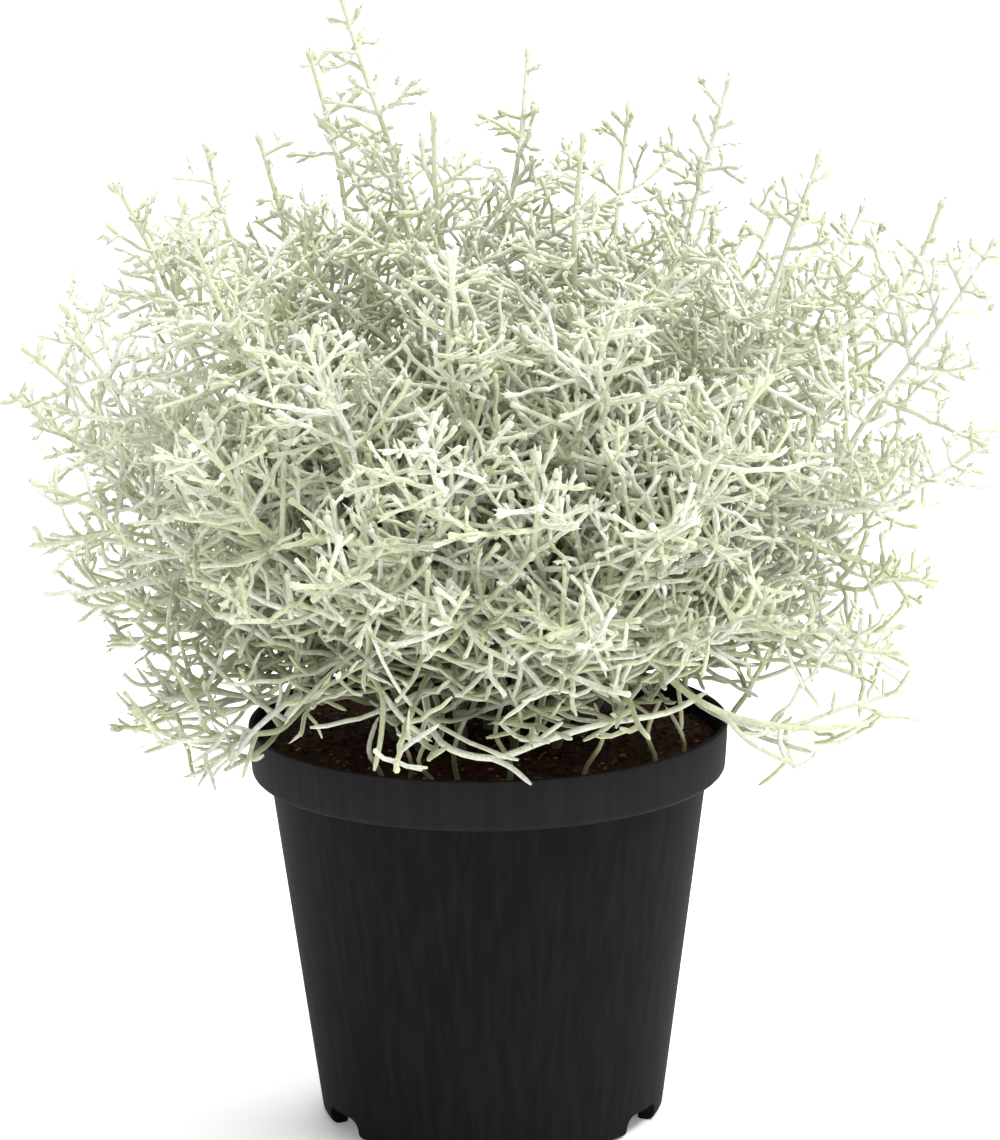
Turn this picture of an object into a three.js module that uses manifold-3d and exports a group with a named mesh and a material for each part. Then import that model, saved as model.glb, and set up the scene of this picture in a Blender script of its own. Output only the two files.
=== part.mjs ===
// Potted cushion bush: a silver, wiry plant rooted in the soil of a black plastic nursery pot.
// Sizes are in millimetres, +Z is up, and the origin is the middle of the pot's standing ring.

import * as THREE from 'three';
import { mergeVertices } from 'three/addons/utils/BufferGeometryUtils.js';
import Module from 'manifold-3d';

const wasm = await Module();
wasm.setup();

const UP = new THREE.Vector3(0, 0, 1);
const GAP = 0.3;

// Sizes of the pot
const POT_SIDES = 40;
const POT_HEIGHT = 110;
const RIM_RADIUS = 65;
const RIM_BAND = 14;
const RIM_BAND_FLARE = 0.7;
const RIM_EDGE_ROUND = 2;
const RIM_LIP = 0.6;
const BODY_TOP_RADIUS = 59.4;
const FOOT_RADIUS = 47;
const FOOT_ROUND = 2.6;
const FOOT_RING = 2.4;
const WALL = 1.4;
const FLOOR_RISE = 6.6;
const FLOOR_THICKNESS = 1.6;

// Openings through the foot and the floor
const NOTCH_COUNT = 6;
const NOTCH_WIDTH = 15.5;
const NOTCH_HEIGHT = 5.8;
const NOTCH_LEAN = 0.5;
const NOTCH_DEPTH = 12;
const DRAIN_COUNT = 4;
const DRAIN_RADIUS = 4;
const DRAIN_CIRCLE = 30;
const DRAIN_SIDES = 10;

// Sizes of the soil
const SOIL_SIDES = 28;
const SOIL_EDGE_HEIGHT = 103;
const SOIL_MOUND = 3.5;
const SOIL_ROUGHNESS = 0.9;
const SOIL_RINGS = 4;
const SOIL_SIDE_GAP = 0.5;

// The rooted stems stand on rings in the soil: how many on each, its radius, and how far it is turned
const STEM_RINGS = [
  { count: 1, radius: 0, shift: 0 },
  { count: 6, radius: 13, shift: 0 },
  { count: 12, radius: 26, shift: 0.5 },
];
const LEADERS_PER_STEM = 3;
const STEM_SPLAY = 60;
const ROOT_LENGTH = 16;
const HOLE_SIDES = 6;

// A leader passes through even knots and wanders at them; the second and third fork off at these knots
const LEADER_KNOTS = 7;
const LEADER_WANDER = 5;
const LEADER_PULL = 0.36;
const FORK_KNOTS = [0, 1, 1.4];
const MOST_ATTEMPTS = 40;

// Thickness of the wood, as radii; a limb of three sides is drawn wider, to look as thick as a round one
const STEM_RADIUS = 1.2;
const FORK_RADIUS = 1;
const LEADER_END_RADIUS = 0.7;
const BRANCH_RADIUS = 0.72;
const BUD_RADIUS = 1.1;
const BURIED_ROOT_RADIUS = 0.28;
const LIMB_SIDES = 3;
const SIDE_FACTOR = 1.35;

// Room between limbs, room over the soil and the rim, and how far apart limbs surely miss each other
const CLEARANCE = 0.45;
const GROUND_CLEARANCE = 0.8;
const SURE_MISS = 45;

// How side shoots grow: near-opposite pairs along what carries them, longer where more of it is left.
// Angles are in radians from the carrier; the bend mixes in the carrier, up and a sideways draw, and
// skirting turns it back along the crown. On old wood shoots are sparser and longer.
const BRANCH_HABIT = {
  start: 14, spacing: 5.8, pairs: [0.85, 0.55], turnSpread: 1.2,
  baseLength: 7, growth: 0.5, longest: 60, lengthDraw: [0.5, 0.7],
  angle: [0.95, 0.5], along: 0.12, lift: [0.1, 0.6], skirting: 0.55, sideways: 1,
  sparser: 0.4, longer: 0,
};
const TWIG_HABIT = {
  start: 5, spacing: 5.4, pairs: [0.85, 0.4], turnSpread: 1.2,
  baseLength: 6.5, growth: 0.42, longest: 28, lengthDraw: [0.5, 0.8],
  angle: [0.85, 0.5], along: 0.15, lift: [-0.05, 0.55], skirting: 0.45, sideways: 1,
  sparser: 0.55, longer: 0.35,
};
const SPACING_DRAW = [0.75, 0.5];
const STEEPEST_DROP = -0.35;
const LOWEST_NODE = 110;
const LOW_NODES_BEYOND = 77;

// The crown's heart, and where shoots get shorter: high up and far out
const HEART = new THREE.Vector3(0, 0, 140);
const SKIRT_RADIUS = 90;
const SLIM_FROM = 225;
const SLIM_BEYOND = 95;
const SLIM_OVER = 45;
const SLIM_SHARE = 0.35;

// Where wood is young: between these heights, and between these distances from the axis
const YOUNG_HEIGHTS = [130, 260];
const YOUNG_RADII = [60, 120];
const YOUTH_SHARES = [0.75, 0.4];

// How much leader carries one branch, and how much branch carries one twig
const BRANCH_RUN = 59;
const TWIG_RUN = 35;
const BRANCH_PLACES = [0, 0.6, 1];
const TWIG_PLACES = [0, 0.7, 1];

// Where the leaders end: spires on top, then the left, right, front and back of the crown
const SPIRE_TIPS = [
  [-37, 15, 305], [13, 22, 289], [66, 5, 283], [-12, -30, 278], [-47, 48, 286], [41, 62, 269],
  [26, -55, 276], [87, -38, 268], [-72, -12, 269], [-76, -50, 260], [-99, 28, 253], [105, 40, 244],
  [121, -12, 252], [132, -40, 246],
];
const LEFT_TIPS = [
  [-109, -30, 230], [-126, 30, 208], [-133, 60, 190], [-118, -35, 184],
  [-113, 50, 142], [-102, 0, 134], [-92, -45, 124], [-68, -62, 113],
];
const RIGHT_TIPS = [
  [134, -20, 190], [126, 50, 157], [121, 0, 147], [108, -50, 139], [115, 25, 112], [85, -40, 110],
];
const FRONT_TIPS = [
  [-8, -80, 250], [-44, -95, 233], [34, -95, 240], [68, -95, 220], [-75, -85, 207], [-15, -115, 212],
  [18, -118, 202], [52, -110, 188], [-40, -110, 179], [-9, -112, 164], [28, -112, 159],
  [74, -85, 157], [-64, -85, 158], [11, -85, 125], [-15, -80, 120], [41, -80, 125],
];
const BACK_TIPS = [
  [-62, 60, 262], [57, 50, 243], [83, 70, 240], [-92, 40, 240], [0, 120, 205], [45, 118, 185],
  [-45, 115, 190], [95, 80, 180], [-95, 80, 175], [35, 112, 145], [-45, 105, 140], [100, -15, 124],
  [-85, -15, 121],
];
const TIPS = [...SPIRE_TIPS, ...LEFT_TIPS, ...RIGHT_TIPS, ...FRONT_TIPS, ...BACK_TIPS]
  .map(([x, y, z]) => new THREE.Vector3(x, y, z));

// A seeded draw from 0 to 1 that depends on four whole numbers alone
function chance(a, b, c, d) {
  let mix = 2166136261;
  for (const number of [a, b, c, d]) {
    mix = Math.imul(mix ^ (number + 97), 16777619) >>> 0;
  }
  mix ^= mix >>> 15;
  mix = Math.imul(mix, 2246822519) >>> 0;
  mix ^= mix >>> 13;
  mix = Math.imul(mix, 3266489917) >>> 0;
  mix ^= mix >>> 16;
  return (mix >>> 0) / 4294967296;
}

function clamp(value, low, high) {
  return Math.min(high, Math.max(low, value));
}

// Solids

function solidOf(geometry) {
  const plain = geometry.clone();
  plain.deleteAttribute('normal');
  plain.deleteAttribute('uv');
  const merged = mergeVertices(plain, 1e-5);
  return new wasm.Manifold(new wasm.Mesh({
    numProp: 3,
    vertProperties: Float32Array.from(merged.attributes.position.array),
    triVerts: Uint32Array.from(merged.index.array),
  }));
}

function geometryOf(solid) {
  const mesh = solid.getMesh();
  const geometry = new THREE.BufferGeometry();
  geometry.setAttribute('position', new THREE.BufferAttribute(mesh.vertProperties, 3));
  geometry.setIndex(new THREE.BufferAttribute(mesh.triVerts, 1));
  geometry.computeVertexNormals();
  return geometry;
}

function latheAroundZ(profile, sides) {
  const points = profile.map(([radius, height]) => new THREE.Vector2(radius, height));
  const geometry = new THREE.LatheGeometry(points, sides);
  geometry.rotateX(Math.PI / 2);
  return geometry;
}

// A cylinder bent along a path, with a radius of its own at each point of the path
function limbGeometry(points, radii, sides) {
  const segments = points.length - 1;
  const endRadius = radii[segments] === 0 ? 0 : 1;
  const geometry = new THREE.CylinderGeometry(endRadius, 1, 1, sides, segments);
  const tangents = points.map((_, index) => {
    const before = points[Math.max(index - 1, 0)];
    const after = points[Math.min(index + 1, segments)];
    return after.clone().sub(before).normalize();
  });
  const across = anyAcross(tangents[0]);
  const frames = tangents.map((tangent) => {
    across.addScaledVector(tangent, -across.dot(tangent)).normalize();
    return { across: across.clone(), beside: new THREE.Vector3().crossVectors(tangent, across) };
  });
  const position = geometry.attributes.position;
  for (let index = 0; index < position.count; index += 1) {
    const ring = Math.round((position.getY(index) + 0.5) * segments);
    const round = Math.hypot(position.getX(index), position.getZ(index));
    const turn = Math.atan2(position.getX(index), position.getZ(index));
    const reach = round < 1e-6 ? 0 : radii[ring];
    const place = points[ring].clone()
      .addScaledVector(frames[ring].across, reach * Math.cos(turn))
      .addScaledVector(frames[ring].beside, reach * Math.sin(turn));
    position.setXYZ(index, place.x, place.y, place.z);
  }
  return geometry;
}

function anyAcross(direction) {
  const across = new THREE.Vector3().crossVectors(direction, UP);
  if (across.length() < 0.2) {
    across.crossVectors(direction, new THREE.Vector3(0, 1, 0));
  }
  return across.normalize();
}

// The pot

function bodyRadius(height) {
  const share = (height - FOOT_ROUND) / (POT_HEIGHT - RIM_BAND - FOOT_ROUND);
  return FOOT_RADIUS + (BODY_TOP_RADIUS - FOOT_RADIUS) * share;
}

function potProfile() {
  const bandBottom = POT_HEIGHT - RIM_BAND;
  const ledge = bandBottom + WALL;
  const bandRadius = RIM_RADIUS - RIM_BAND_FLARE;
  const corner = 0.3 * FOOT_ROUND;
  const floorTop = FLOOR_RISE + FLOOR_THICKNESS;
  const ringInner = FOOT_RADIUS - FOOT_ROUND - FOOT_RING;
  return [
    [0, FLOOR_RISE],
    [ringInner, FLOOR_RISE],
    [ringInner, 0],
    [ringInner + FOOT_RING, 0],
    [FOOT_RADIUS - corner, corner],
    [FOOT_RADIUS, FOOT_ROUND],
    [BODY_TOP_RADIUS, bandBottom],
    [bandRadius - RIM_EDGE_ROUND, bandBottom],
    [bandRadius, bandBottom + RIM_EDGE_ROUND],
    [RIM_RADIUS, POT_HEIGHT - RIM_LIP],
    [RIM_RADIUS - RIM_LIP, POT_HEIGHT],
    [RIM_RADIUS - WALL, POT_HEIGHT],
    [bandRadius - WALL, ledge],
    [bodyRadius(ledge) - WALL, ledge],
    [bodyRadius(floorTop) - WALL, floorTop],
    [0, floorTop],
  ];
}

// An arch that is cut through the foot, lying along +X
function notchGeometry() {
  const half = NOTCH_WIDTH / 2;
  const round = NOTCH_HEIGHT * 0.5;
  const shoulder = half - 1.6 * NOTCH_LEAN;
  const arch = new THREE.Shape();
  arch.moveTo(-half, -1);
  arch.lineTo(half, -1);
  arch.lineTo(half - NOTCH_LEAN, NOTCH_HEIGHT - round);
  arch.quadraticCurveTo(shoulder, NOTCH_HEIGHT, shoulder - round, NOTCH_HEIGHT);
  arch.lineTo(round - shoulder, NOTCH_HEIGHT);
  arch.quadraticCurveTo(-shoulder, NOTCH_HEIGHT, NOTCH_LEAN - half, NOTCH_HEIGHT - round);
  arch.closePath();
  const form = { depth: NOTCH_DEPTH, bevelEnabled: false, curveSegments: 3 };
  const geometry = new THREE.ExtrudeGeometry(arch, form);
  geometry.rotateX(Math.PI / 2);
  geometry.rotateZ(Math.PI / 2);
  geometry.translate(FOOT_RADIUS - NOTCH_DEPTH / 2 - FOOT_ROUND, 0, 0);
  return geometry;
}

function drainGeometry() {
  const geometry = new THREE.CylinderGeometry(DRAIN_RADIUS, DRAIN_RADIUS, 2 * FLOOR_RISE, DRAIN_SIDES);
  geometry.rotateX(Math.PI / 2);
  geometry.translate(DRAIN_CIRCLE, 0, FLOOR_RISE + FLOOR_THICKNESS / 2);
  return geometry;
}

function potSolid() {
  let pot = solidOf(latheAroundZ(potProfile(), POT_SIDES));
  for (let index = 0; index < NOTCH_COUNT; index += 1) {
    const geometry = notchGeometry();
    geometry.rotateZ(-Math.PI / 2 + index * 2 * Math.PI / NOTCH_COUNT);
    pot = pot.subtract(solidOf(geometry));
  }
  for (let index = 0; index < DRAIN_COUNT; index += 1) {
    const geometry = drainGeometry();
    geometry.rotateZ(index * 2 * Math.PI / DRAIN_COUNT);
    pot = pot.subtract(solidOf(geometry));
  }
  return pot;
}

// The soil

function soilHeight(radius) {
  const share = clamp(radius / RIM_RADIUS, 0, 1);
  return SOIL_EDGE_HEIGHT + SOIL_MOUND * (1 - share * share);
}

function soilSolid(stems) {
  const floorTop = FLOOR_RISE + FLOOR_THICKNESS + GAP;
  const ledge = POT_HEIGHT - RIM_BAND + WALL + GAP;
  const topRadius = RIM_RADIUS - RIM_BAND_FLARE - WALL - SOIL_SIDE_GAP;
  const profile = [
    [0, floorTop],
    [bodyRadius(floorTop) - WALL - SOIL_SIDE_GAP, floorTop],
    [bodyRadius(ledge) - WALL - SOIL_SIDE_GAP, ledge],
    [topRadius, ledge],
  ];
  for (let ring = SOIL_RINGS; ring >= 0; ring -= 1) {
    const radius = topRadius * ring / SOIL_RINGS;
    profile.push([radius, soilHeight(radius)]);
  }
  const geometry = latheAroundZ(profile, SOIL_SIDES);
  roughenTop(geometry, topRadius);
  let soil = solidOf(geometry);
  for (const stem of stems) {
    soil = soil.subtract(solidOf(holeGeometry(stem)));
  }
  return soil;
}

// Crumbs: the inner points of the top are raised or sunk a little
function roughenTop(geometry, topRadius) {
  const position = geometry.attributes.position;
  for (let index = 0; index < position.count; index += 1) {
    const [x, y, z] = [position.getX(index), position.getY(index), position.getZ(index)];
    const radius = Math.hypot(x, y);
    if (z > SOIL_EDGE_HEIGHT - 0.01 && radius < topRadius - 1 && radius > 1) {
      const draw = chance(Math.round(x), Math.round(y), 3, 0);
      position.setZ(index, z + SOIL_ROUGHNESS * (2 * draw - 1));
    }
  }
}

// The plain hole in which a stem stands: a straight prism along the stem's root
function holeGeometry(stem) {
  const { rootEnd, heading } = stem;
  const radius = STEM_RADIUS * SIDE_FACTOR + 1.3 * GAP;
  const bottom = rootEnd.clone().addScaledVector(heading, -GAP);
  const top = rootEnd.clone().addScaledVector(heading, 1.4 * ROOT_LENGTH);
  const wide = radius / Math.cos(Math.PI / HOLE_SIDES);
  return limbGeometry([bottom, top], [wide, wide], HOLE_SIDES);
}

// Growth of the plant

function stemBases() {
  const bases = [];
  for (const { count, radius, shift } of STEM_RINGS) {
    for (let index = 0; index < count; index += 1) {
      const turn = 2 * Math.PI * (index + shift) / count;
      bases.push(new THREE.Vector3(radius * Math.cos(turn), radius * Math.sin(turn), 0));
    }
  }
  return bases;
}

// Each tip goes to the stem that stands nearest to where such a leader would rise from
function shareTips(bases) {
  const outermost = STEM_RINGS[STEM_RINGS.length - 1].radius + 2;
  const groups = bases.map(() => []);
  const order = TIPS.map((_, index) => index).sort((a, b) => TIPS[b].z - TIPS[a].z || a - b);
  for (const leader of order) {
    const tip = TIPS[leader];
    const reach = Math.hypot(tip.x, tip.y);
    const lean = reach / (tip.z - SOIL_EDGE_HEIGHT + 20);
    const wanted = outermost * Math.min(1, lean / 1.1) / reach;
    let nearest = -1;
    let shortest = Infinity;
    bases.forEach((base, stem) => {
      const distance = Math.hypot(base.x - tip.x * wanted, base.y - tip.y * wanted);
      if (groups[stem].length < LEADERS_PER_STEM && distance < shortest) {
        shortest = distance;
        nearest = stem;
      }
    });
    groups[nearest].push(leader);
  }
  const spread = (leader) => Math.hypot(TIPS[leader].x, TIPS[leader].y) / (TIPS[leader].z - 80);
  for (const group of groups) {
    group.sort((a, b) => spread(a) - spread(b));
  }
  return groups;
}

function bezierPoint([start, first, second, end], t) {
  const s = 1 - t;
  return start.clone().multiplyScalar(s * s * s)
    .addScaledVector(first, 3 * s * s * t)
    .addScaledVector(second, 3 * s * t * t)
    .addScaledVector(end, t * t * t);
}

// The frame of a leader: up out of the soil, outwards, and up again at a high tip or down at a low one.
// Each further attempt draws the frame a little to the side, to find a way past other stems.
function leaderFrame(start, heading, leader, attempt) {
  const tip = TIPS[leader];
  const length = tip.distanceTo(start);
  const outwards = new THREE.Vector3(tip.x, tip.y, 0).normalize();
  const rise = -0.35 + 1.35 * clamp((tip.z - 110) / 140, 0, 1);
  const side = 1 - 0.72 * clamp((tip.z - 120) / 150, 0, 1);
  const arrival = outwards.multiplyScalar(side).addScaledVector(UP, rise).normalize();
  const shift = (place) => (chance(leader, attempt, place, 71) - 0.5) * (attempt ? 4 + 2 * attempt : 0);
  const first = start.clone().addScaledVector(heading, LEADER_PULL * length);
  first.add(new THREE.Vector3(shift(0), shift(1), 0.5 * shift(2)));
  const second = tip.clone().addScaledVector(arrival, -LEADER_PULL * length);
  second.add(new THREE.Vector3(shift(3), shift(4), shift(5)));
  return [start, first, second, tip];
}

// The points of a leader, which wanders a little on its way
function leaderKnots(frame, leader) {
  const knots = [];
  for (let knot = 0; knot <= LEADER_KNOTS; knot += 1) {
    const point = bezierPoint(frame, knot / LEADER_KNOTS);
    if (knot > 1 && knot < LEADER_KNOTS) {
      const sway = 2 * LEADER_WANDER * Math.sin(Math.PI * knot / LEADER_KNOTS);
      point.x += (chance(leader, knot, 0, 5) - 0.5) * sway;
      point.y += (chance(leader, knot, 1, 5) - 0.5) * sway;
      point.z += (chance(leader, knot, 2, 5) - 0.5) * sway;
    }
    knots.push(point);
  }
  return knots;
}

function sideDirection(tangent, turn, angle) {
  const across = anyAcross(tangent);
  const beside = new THREE.Vector3().crossVectors(tangent, across);
  return tangent.clone().multiplyScalar(Math.cos(angle))
    .addScaledVector(across, Math.cos(turn) * Math.sin(angle))
    .addScaledVector(beside, Math.sin(turn) * Math.sin(angle))
    .normalize();
}

// A shoot that leaves along one direction and bends towards another
function shootPath(root, leaving, ending, length, places) {
  const middle = root.clone().addScaledVector(leaving, 0.5 * length);
  const end = middle.clone().addScaledVector(ending, 0.55 * length);
  return places.map((t) => root.clone().multiplyScalar((1 - t) * (1 - t))
    .addScaledVector(middle, 2 * (1 - t) * t)
    .addScaledVector(end, t * t));
}

function pointAlong(points, distance) {
  let left = distance;
  let index = 0;
  while (index < points.length - 2 && left > points[index].distanceTo(points[index + 1])) {
    left -= points[index].distanceTo(points[index + 1]);
    index += 1;
  }
  const [before, after] = [points[index], points[index + 1]];
  const share = Math.min(1, left / before.distanceTo(after));
  return { point: before.clone().lerp(after, share), tangent: after.clone().sub(before).normalize() };
}

function lengthOf(points) {
  return points.slice(1).reduce((sum, point, index) => sum + point.distanceTo(points[index]), 0);
}

// Room for growth: the limbs that already stand, kept clear of each other

const standing = [];

function segmentDistance(a, b, c, d) {
  const first = new THREE.Vector3().subVectors(b, a);
  const second = new THREE.Vector3().subVectors(d, c);
  const between = new THREE.Vector3().subVectors(a, c);
  const aa = first.dot(first);
  const bb = second.dot(second);
  const ab = first.dot(second);
  const ar = first.dot(between);
  const br = second.dot(between);
  const wide = aa * bb - ab * ab;
  let s = wide > 1e-9 ? clamp((ab * br - ar * bb) / wide, 0, 1) : 0;
  let t = (ab * s + br) / bb;
  if (t < 0 || t > 1) {
    t = clamp(t, 0, 1);
    s = clamp((ab * t - ar) / aa, 0, 1);
  }
  return between.addScaledVector(first, s).addScaledVector(second, -t).length();
}

function meetsPotOrSoil(point, radius) {
  const reach = Math.hypot(point.x, point.y);
  const room = radius + GROUND_CLEARANCE;
  if (reach > RIM_RADIUS + room) {
    return false;
  }
  const floor = reach > RIM_RADIUS - WALL - 3 ? POT_HEIGHT : soilHeight(reach) + SOIL_ROUGHNESS;
  return point.z < floor + room;
}

// Whether a limb misses all that stands, but for the first piece of it, which may meet its own stem
function isClear(limb) {
  for (let index = 0; index < limb.points.length - 1; index += 1) {
    const [a, b] = [limb.points[index], limb.points[index + 1]];
    const radius = Math.max(limb.radii[index], limb.radii[index + 1]);
    for (const other of standing) {
      const sameStem = other.stem === limb.stem;
      if (sameStem && (index < 1 || other.limb === limb.parent)) {
        continue;
      }
      const room = radius + other.radius + CLEARANCE;
      const isFar = Math.abs(a.x - other.a.x) > SURE_MISS || Math.abs(a.z - other.a.z) > SURE_MISS;
      if (!isFar && segmentDistance(a, b, other.a, other.b) < room) {
        return false;
      }
    }
  }
  return true;
}

function stand(limb) {
  for (let index = 0; index < limb.points.length - 1; index += 1) {
    standing.push({
      a: limb.points[index],
      b: limb.points[index + 1],
      radius: Math.max(limb.radii[index], limb.radii[index + 1]),
      stem: limb.stem,
      limb: limb.name,
    });
  }
}

// One leader: the stem's first stands in the soil, and the later ones fork off it
function growLeader(stem, order, number) {
  const isFirst = order === 0;
  const fork = isFirst ? stem : forkFrom(stem.leaders[0].knots, FORK_KNOTS[order], number);
  const startRadius = (isFirst ? STEM_RADIUS : FORK_RADIUS) * SIDE_FACTOR;
  for (let attempt = 0; attempt < MOST_ATTEMPTS; attempt += 1) {
    const knots = leaderKnots(leaderFrame(fork.exit, fork.heading, number, attempt), number);
    const leader = leaderLimb(isFirst ? [stem.rootEnd, ...knots] : knots, startRadius);
    leader.name = `${number}`;
    leader.number = number;
    leader.knots = knots;
    leader.stem = stem.number;
    leader.parent = isFirst ? '' : stem.leaders[0].name;
    const touches = knots.slice(2).some((knot) => meetsPotOrSoil(knot, LEADER_END_RADIUS));
    if (!touches && isClear(leader)) {
      stand(leader);
      stem.leaders.push(leader);
      return;
    }
  }
  throw new Error(`leader ${number} finds no clear way`);
}

// A leader thins towards its tip and ends in a bud
function leaderLimb(points, startRadius) {
  const last = points.length - 1;
  const bud = points[last - 1].clone().lerp(points[last], 0.8);
  const endRadius = LEADER_END_RADIUS * SIDE_FACTOR;
  const radii = points.map((_, index) => startRadius + (endRadius - startRadius) * index / last);
  radii.splice(last, 1, BUD_RADIUS * SIDE_FACTOR, 0);
  return { points: [...points.slice(0, last), bud, points[last]], radii };
}

// Where a later leader leaves the first one, and in which direction
function forkFrom(knots, place, leader) {
  const below = Math.floor(place);
  const exit = knots[below].clone().lerp(knots[below + 1], place - below);
  const ahead = knots[below + 1].clone().sub(knots[below]).normalize();
  const towards = TIPS[leader].clone().sub(exit).normalize();
  return { exit, heading: ahead.multiplyScalar(0.35).addScaledVector(towards, 0.65).normalize() };
}

function shareBetween([low, high], value) {
  return clamp((value - low) / (high - low), 0, 1);
}

// How young the wood is at a point: more so high up and far out
function youthAt(point) {
  const high = shareBetween(YOUNG_HEIGHTS, point.z);
  const wide = shareBetween(YOUNG_RADII, Math.hypot(point.x, point.y));
  return Math.min(YOUTH_SHARES[0] * high + YOUTH_SHARES[1] * wide, 1);
}

// The shoots that could grow along a leader or a branch, each pair turned a right angle from the last
function shootsAlong(points, habit, leader, carrier) {
  const total = lengthOf(points);
  const shoots = [];
  let distance = habit.start;
  for (let node = 0; distance < total - 2; node += 1) {
    const place = pointAlong(points, distance);
    const beyondRim = Math.hypot(place.point.x, place.point.y) > LOW_NODES_BEYOND;
    const bears = place.point.z > LOWEST_NODE || beyondRim;
    for (let half = 0; half < 2; half += 1) {
      const draw = (purpose) => chance(leader, carrier, node * 2 + half, purpose);
      if (draw(1) < habit.pairs[half] && bears) {
        const firstTurn = chance(leader, carrier, 0, 9) * 2 * Math.PI;
        const turn = firstTurn + (node % 2) * Math.PI / 2 + half * Math.PI
          + (draw(2) - 0.5) * habit.turnSpread;
        shoots.push({ number: node * 2 + half, ...shootFrom(place, total - distance, turn, habit, draw) });
      }
    }
    const room = SPACING_DRAW[0] + SPACING_DRAW[1] * chance(leader, carrier, node, 31);
    distance += habit.spacing * room * (1 + habit.sparser * (1 - youthAt(place.point)));
  }
  return shoots;
}

function shootFrom({ point, tangent }, left, turn, habit, draw) {
  const high = (point.z - SLIM_FROM) / SLIM_OVER;
  const wide = (Math.hypot(point.x, point.y) - SLIM_BEYOND) / SLIM_OVER;
  const slimming = clamp(Math.max(high, wide), 0, 1) * SLIM_SHARE;
  const fullLength = Math.min(habit.baseLength + habit.growth * left, habit.longest)
    * (1 - slimming) * (1 + habit.longer * (1 - youthAt(point)));
  const leaving = sideDirection(tangent, turn, habit.angle[0] + habit.angle[1] * draw(3));
  if (leaving.z < STEEPEST_DROP) {
    leaving.z = STEEPEST_DROP;
    leaving.normalize();
  }
  const sideways = new THREE.Vector3(draw(6) - 0.5, draw(7) - 0.5, 0);
  const ending = leaving.clone().multiplyScalar(0.75)
    .addScaledVector(tangent, habit.along)
    .addScaledVector(UP, habit.lift[0] + habit.lift[1] * draw(5))
    .addScaledVector(sideways, habit.sideways);
  const outwards = point.clone().sub(HEART);
  const held = habit.skirting * Math.min(outwards.length() / SKIRT_RADIUS, 1);
  outwards.normalize();
  ending.addScaledVector(outwards, -held * Math.max(ending.dot(outwards), 0)).normalize();
  const length = fullLength * (habit.lengthDraw[0] + habit.lengthDraw[1] * draw(4));
  return { root: point, leaving, ending, length };
}

// Of each even stretch of shoots, the longest one that finds room is grown
function growSpread(shoots, wanted, grow) {
  const grown = [];
  for (let stretch = 0; stretch < wanted; stretch += 1) {
    const from = Math.floor(shoots.length * stretch / wanted);
    const to = Math.floor(shoots.length * (stretch + 1) / wanted);
    const choice = shoots.slice(from, to).sort((one, other) => other.length - one.length);
    for (const shoot of choice) {
      const limb = grow(shoot);
      if (limb) {
        grown.push({ ...shoot, ...limb });
        break;
      }
    }
  }
  return grown;
}

function growShoot(stem, parent, shoot, places, radii) {
  const points = shootPath(shoot.root, shoot.leaving, shoot.ending, shoot.length, places);
  const name = `${parent}-${shoot.number}`;
  const wider = radii.map((radius) => radius * SIDE_FACTOR);
  const limb = { points, radii: wider, stem: stem.number, parent, name };
  const touches = points.some((point) => meetsPotOrSoil(point, radii[1]));
  if (touches || !isClear(limb)) {
    return null;
  }
  stand(limb);
  stem.limbs.push(limb);
  return limb;
}

function growBranches(stem, leader) {
  const shoots = shootsAlong(leader.knots, BRANCH_HABIT, leader.number, 0);
  const wanted = Math.round(lengthOf(leader.knots) / BRANCH_RUN) + 1;
  const radii = [BURIED_ROOT_RADIUS, BRANCH_RADIUS, 0];
  leader.branches = growSpread(shoots, wanted, (shoot) => (
    growShoot(stem, leader.name, shoot, BRANCH_PLACES, radii)
  ));
}

function growTwigs(stem, leader) {
  const radii = [BURIED_ROOT_RADIUS, BUD_RADIUS, 0];
  for (const branch of leader.branches) {
    const shoots = shootsAlong(branch.points, TWIG_HABIT, leader.number, branch.number + 1);
    growSpread(shoots, Math.round(branch.length / TWIG_RUN), (shoot) => (
      growShoot(stem, branch.name, shoot, TWIG_PLACES, radii)
    ));
  }
}

function growPlant() {
  const bases = stemBases();
  const groups = shareTips(bases);
  const stems = bases.map((base, number) => {
    const heading = new THREE.Vector3(base.x, base.y, STEM_SPLAY).normalize();
    const exit = new THREE.Vector3(base.x, base.y, soilHeight(base.length()) + 1);
    const rootEnd = exit.clone().addScaledVector(heading, -ROOT_LENGTH);
    return { number, heading, exit, rootEnd, leaders: [], limbs: [] };
  });
  for (let order = 0; order < LEADERS_PER_STEM; order += 1) {
    for (const stem of stems) {
      if (groups[stem.number].length > order) {
        growLeader(stem, order, groups[stem.number][order]);
      }
    }
  }
  for (const grow of [growBranches, growTwigs]) {
    for (const stem of stems) {
      for (const leader of stem.leaders) {
        grow(stem, leader);
      }
    }
  }
  return stems;
}

function stemSolid(stem) {
  let solid = null;
  for (const limb of [...stem.leaders, ...stem.limbs]) {
    const piece = solidOf(limbGeometry(limb.points, limb.radii, LIMB_SIDES));
    solid = solid ? solid.add(piece) : piece;
  }
  return solid;
}

// Materials

function potPlastic() {
  return new THREE.MeshStandardMaterial({ color: 0x2c2c2f, roughness: 0.55, metalness: 0 });
}

function peat() {
  return new THREE.MeshStandardMaterial({ color: 0x321a13, roughness: 0.95, metalness: 0 });
}

function feltedStem() {
  return new THREE.MeshStandardMaterial({ color: 0xc3cbb0, roughness: 0.85, metalness: 0 });
}

// Assembly

function namedMesh(name, solid, material) {
  const mesh = new THREE.Mesh(geometryOf(solid), material);
  mesh.name = name;
  return mesh;
}

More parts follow.
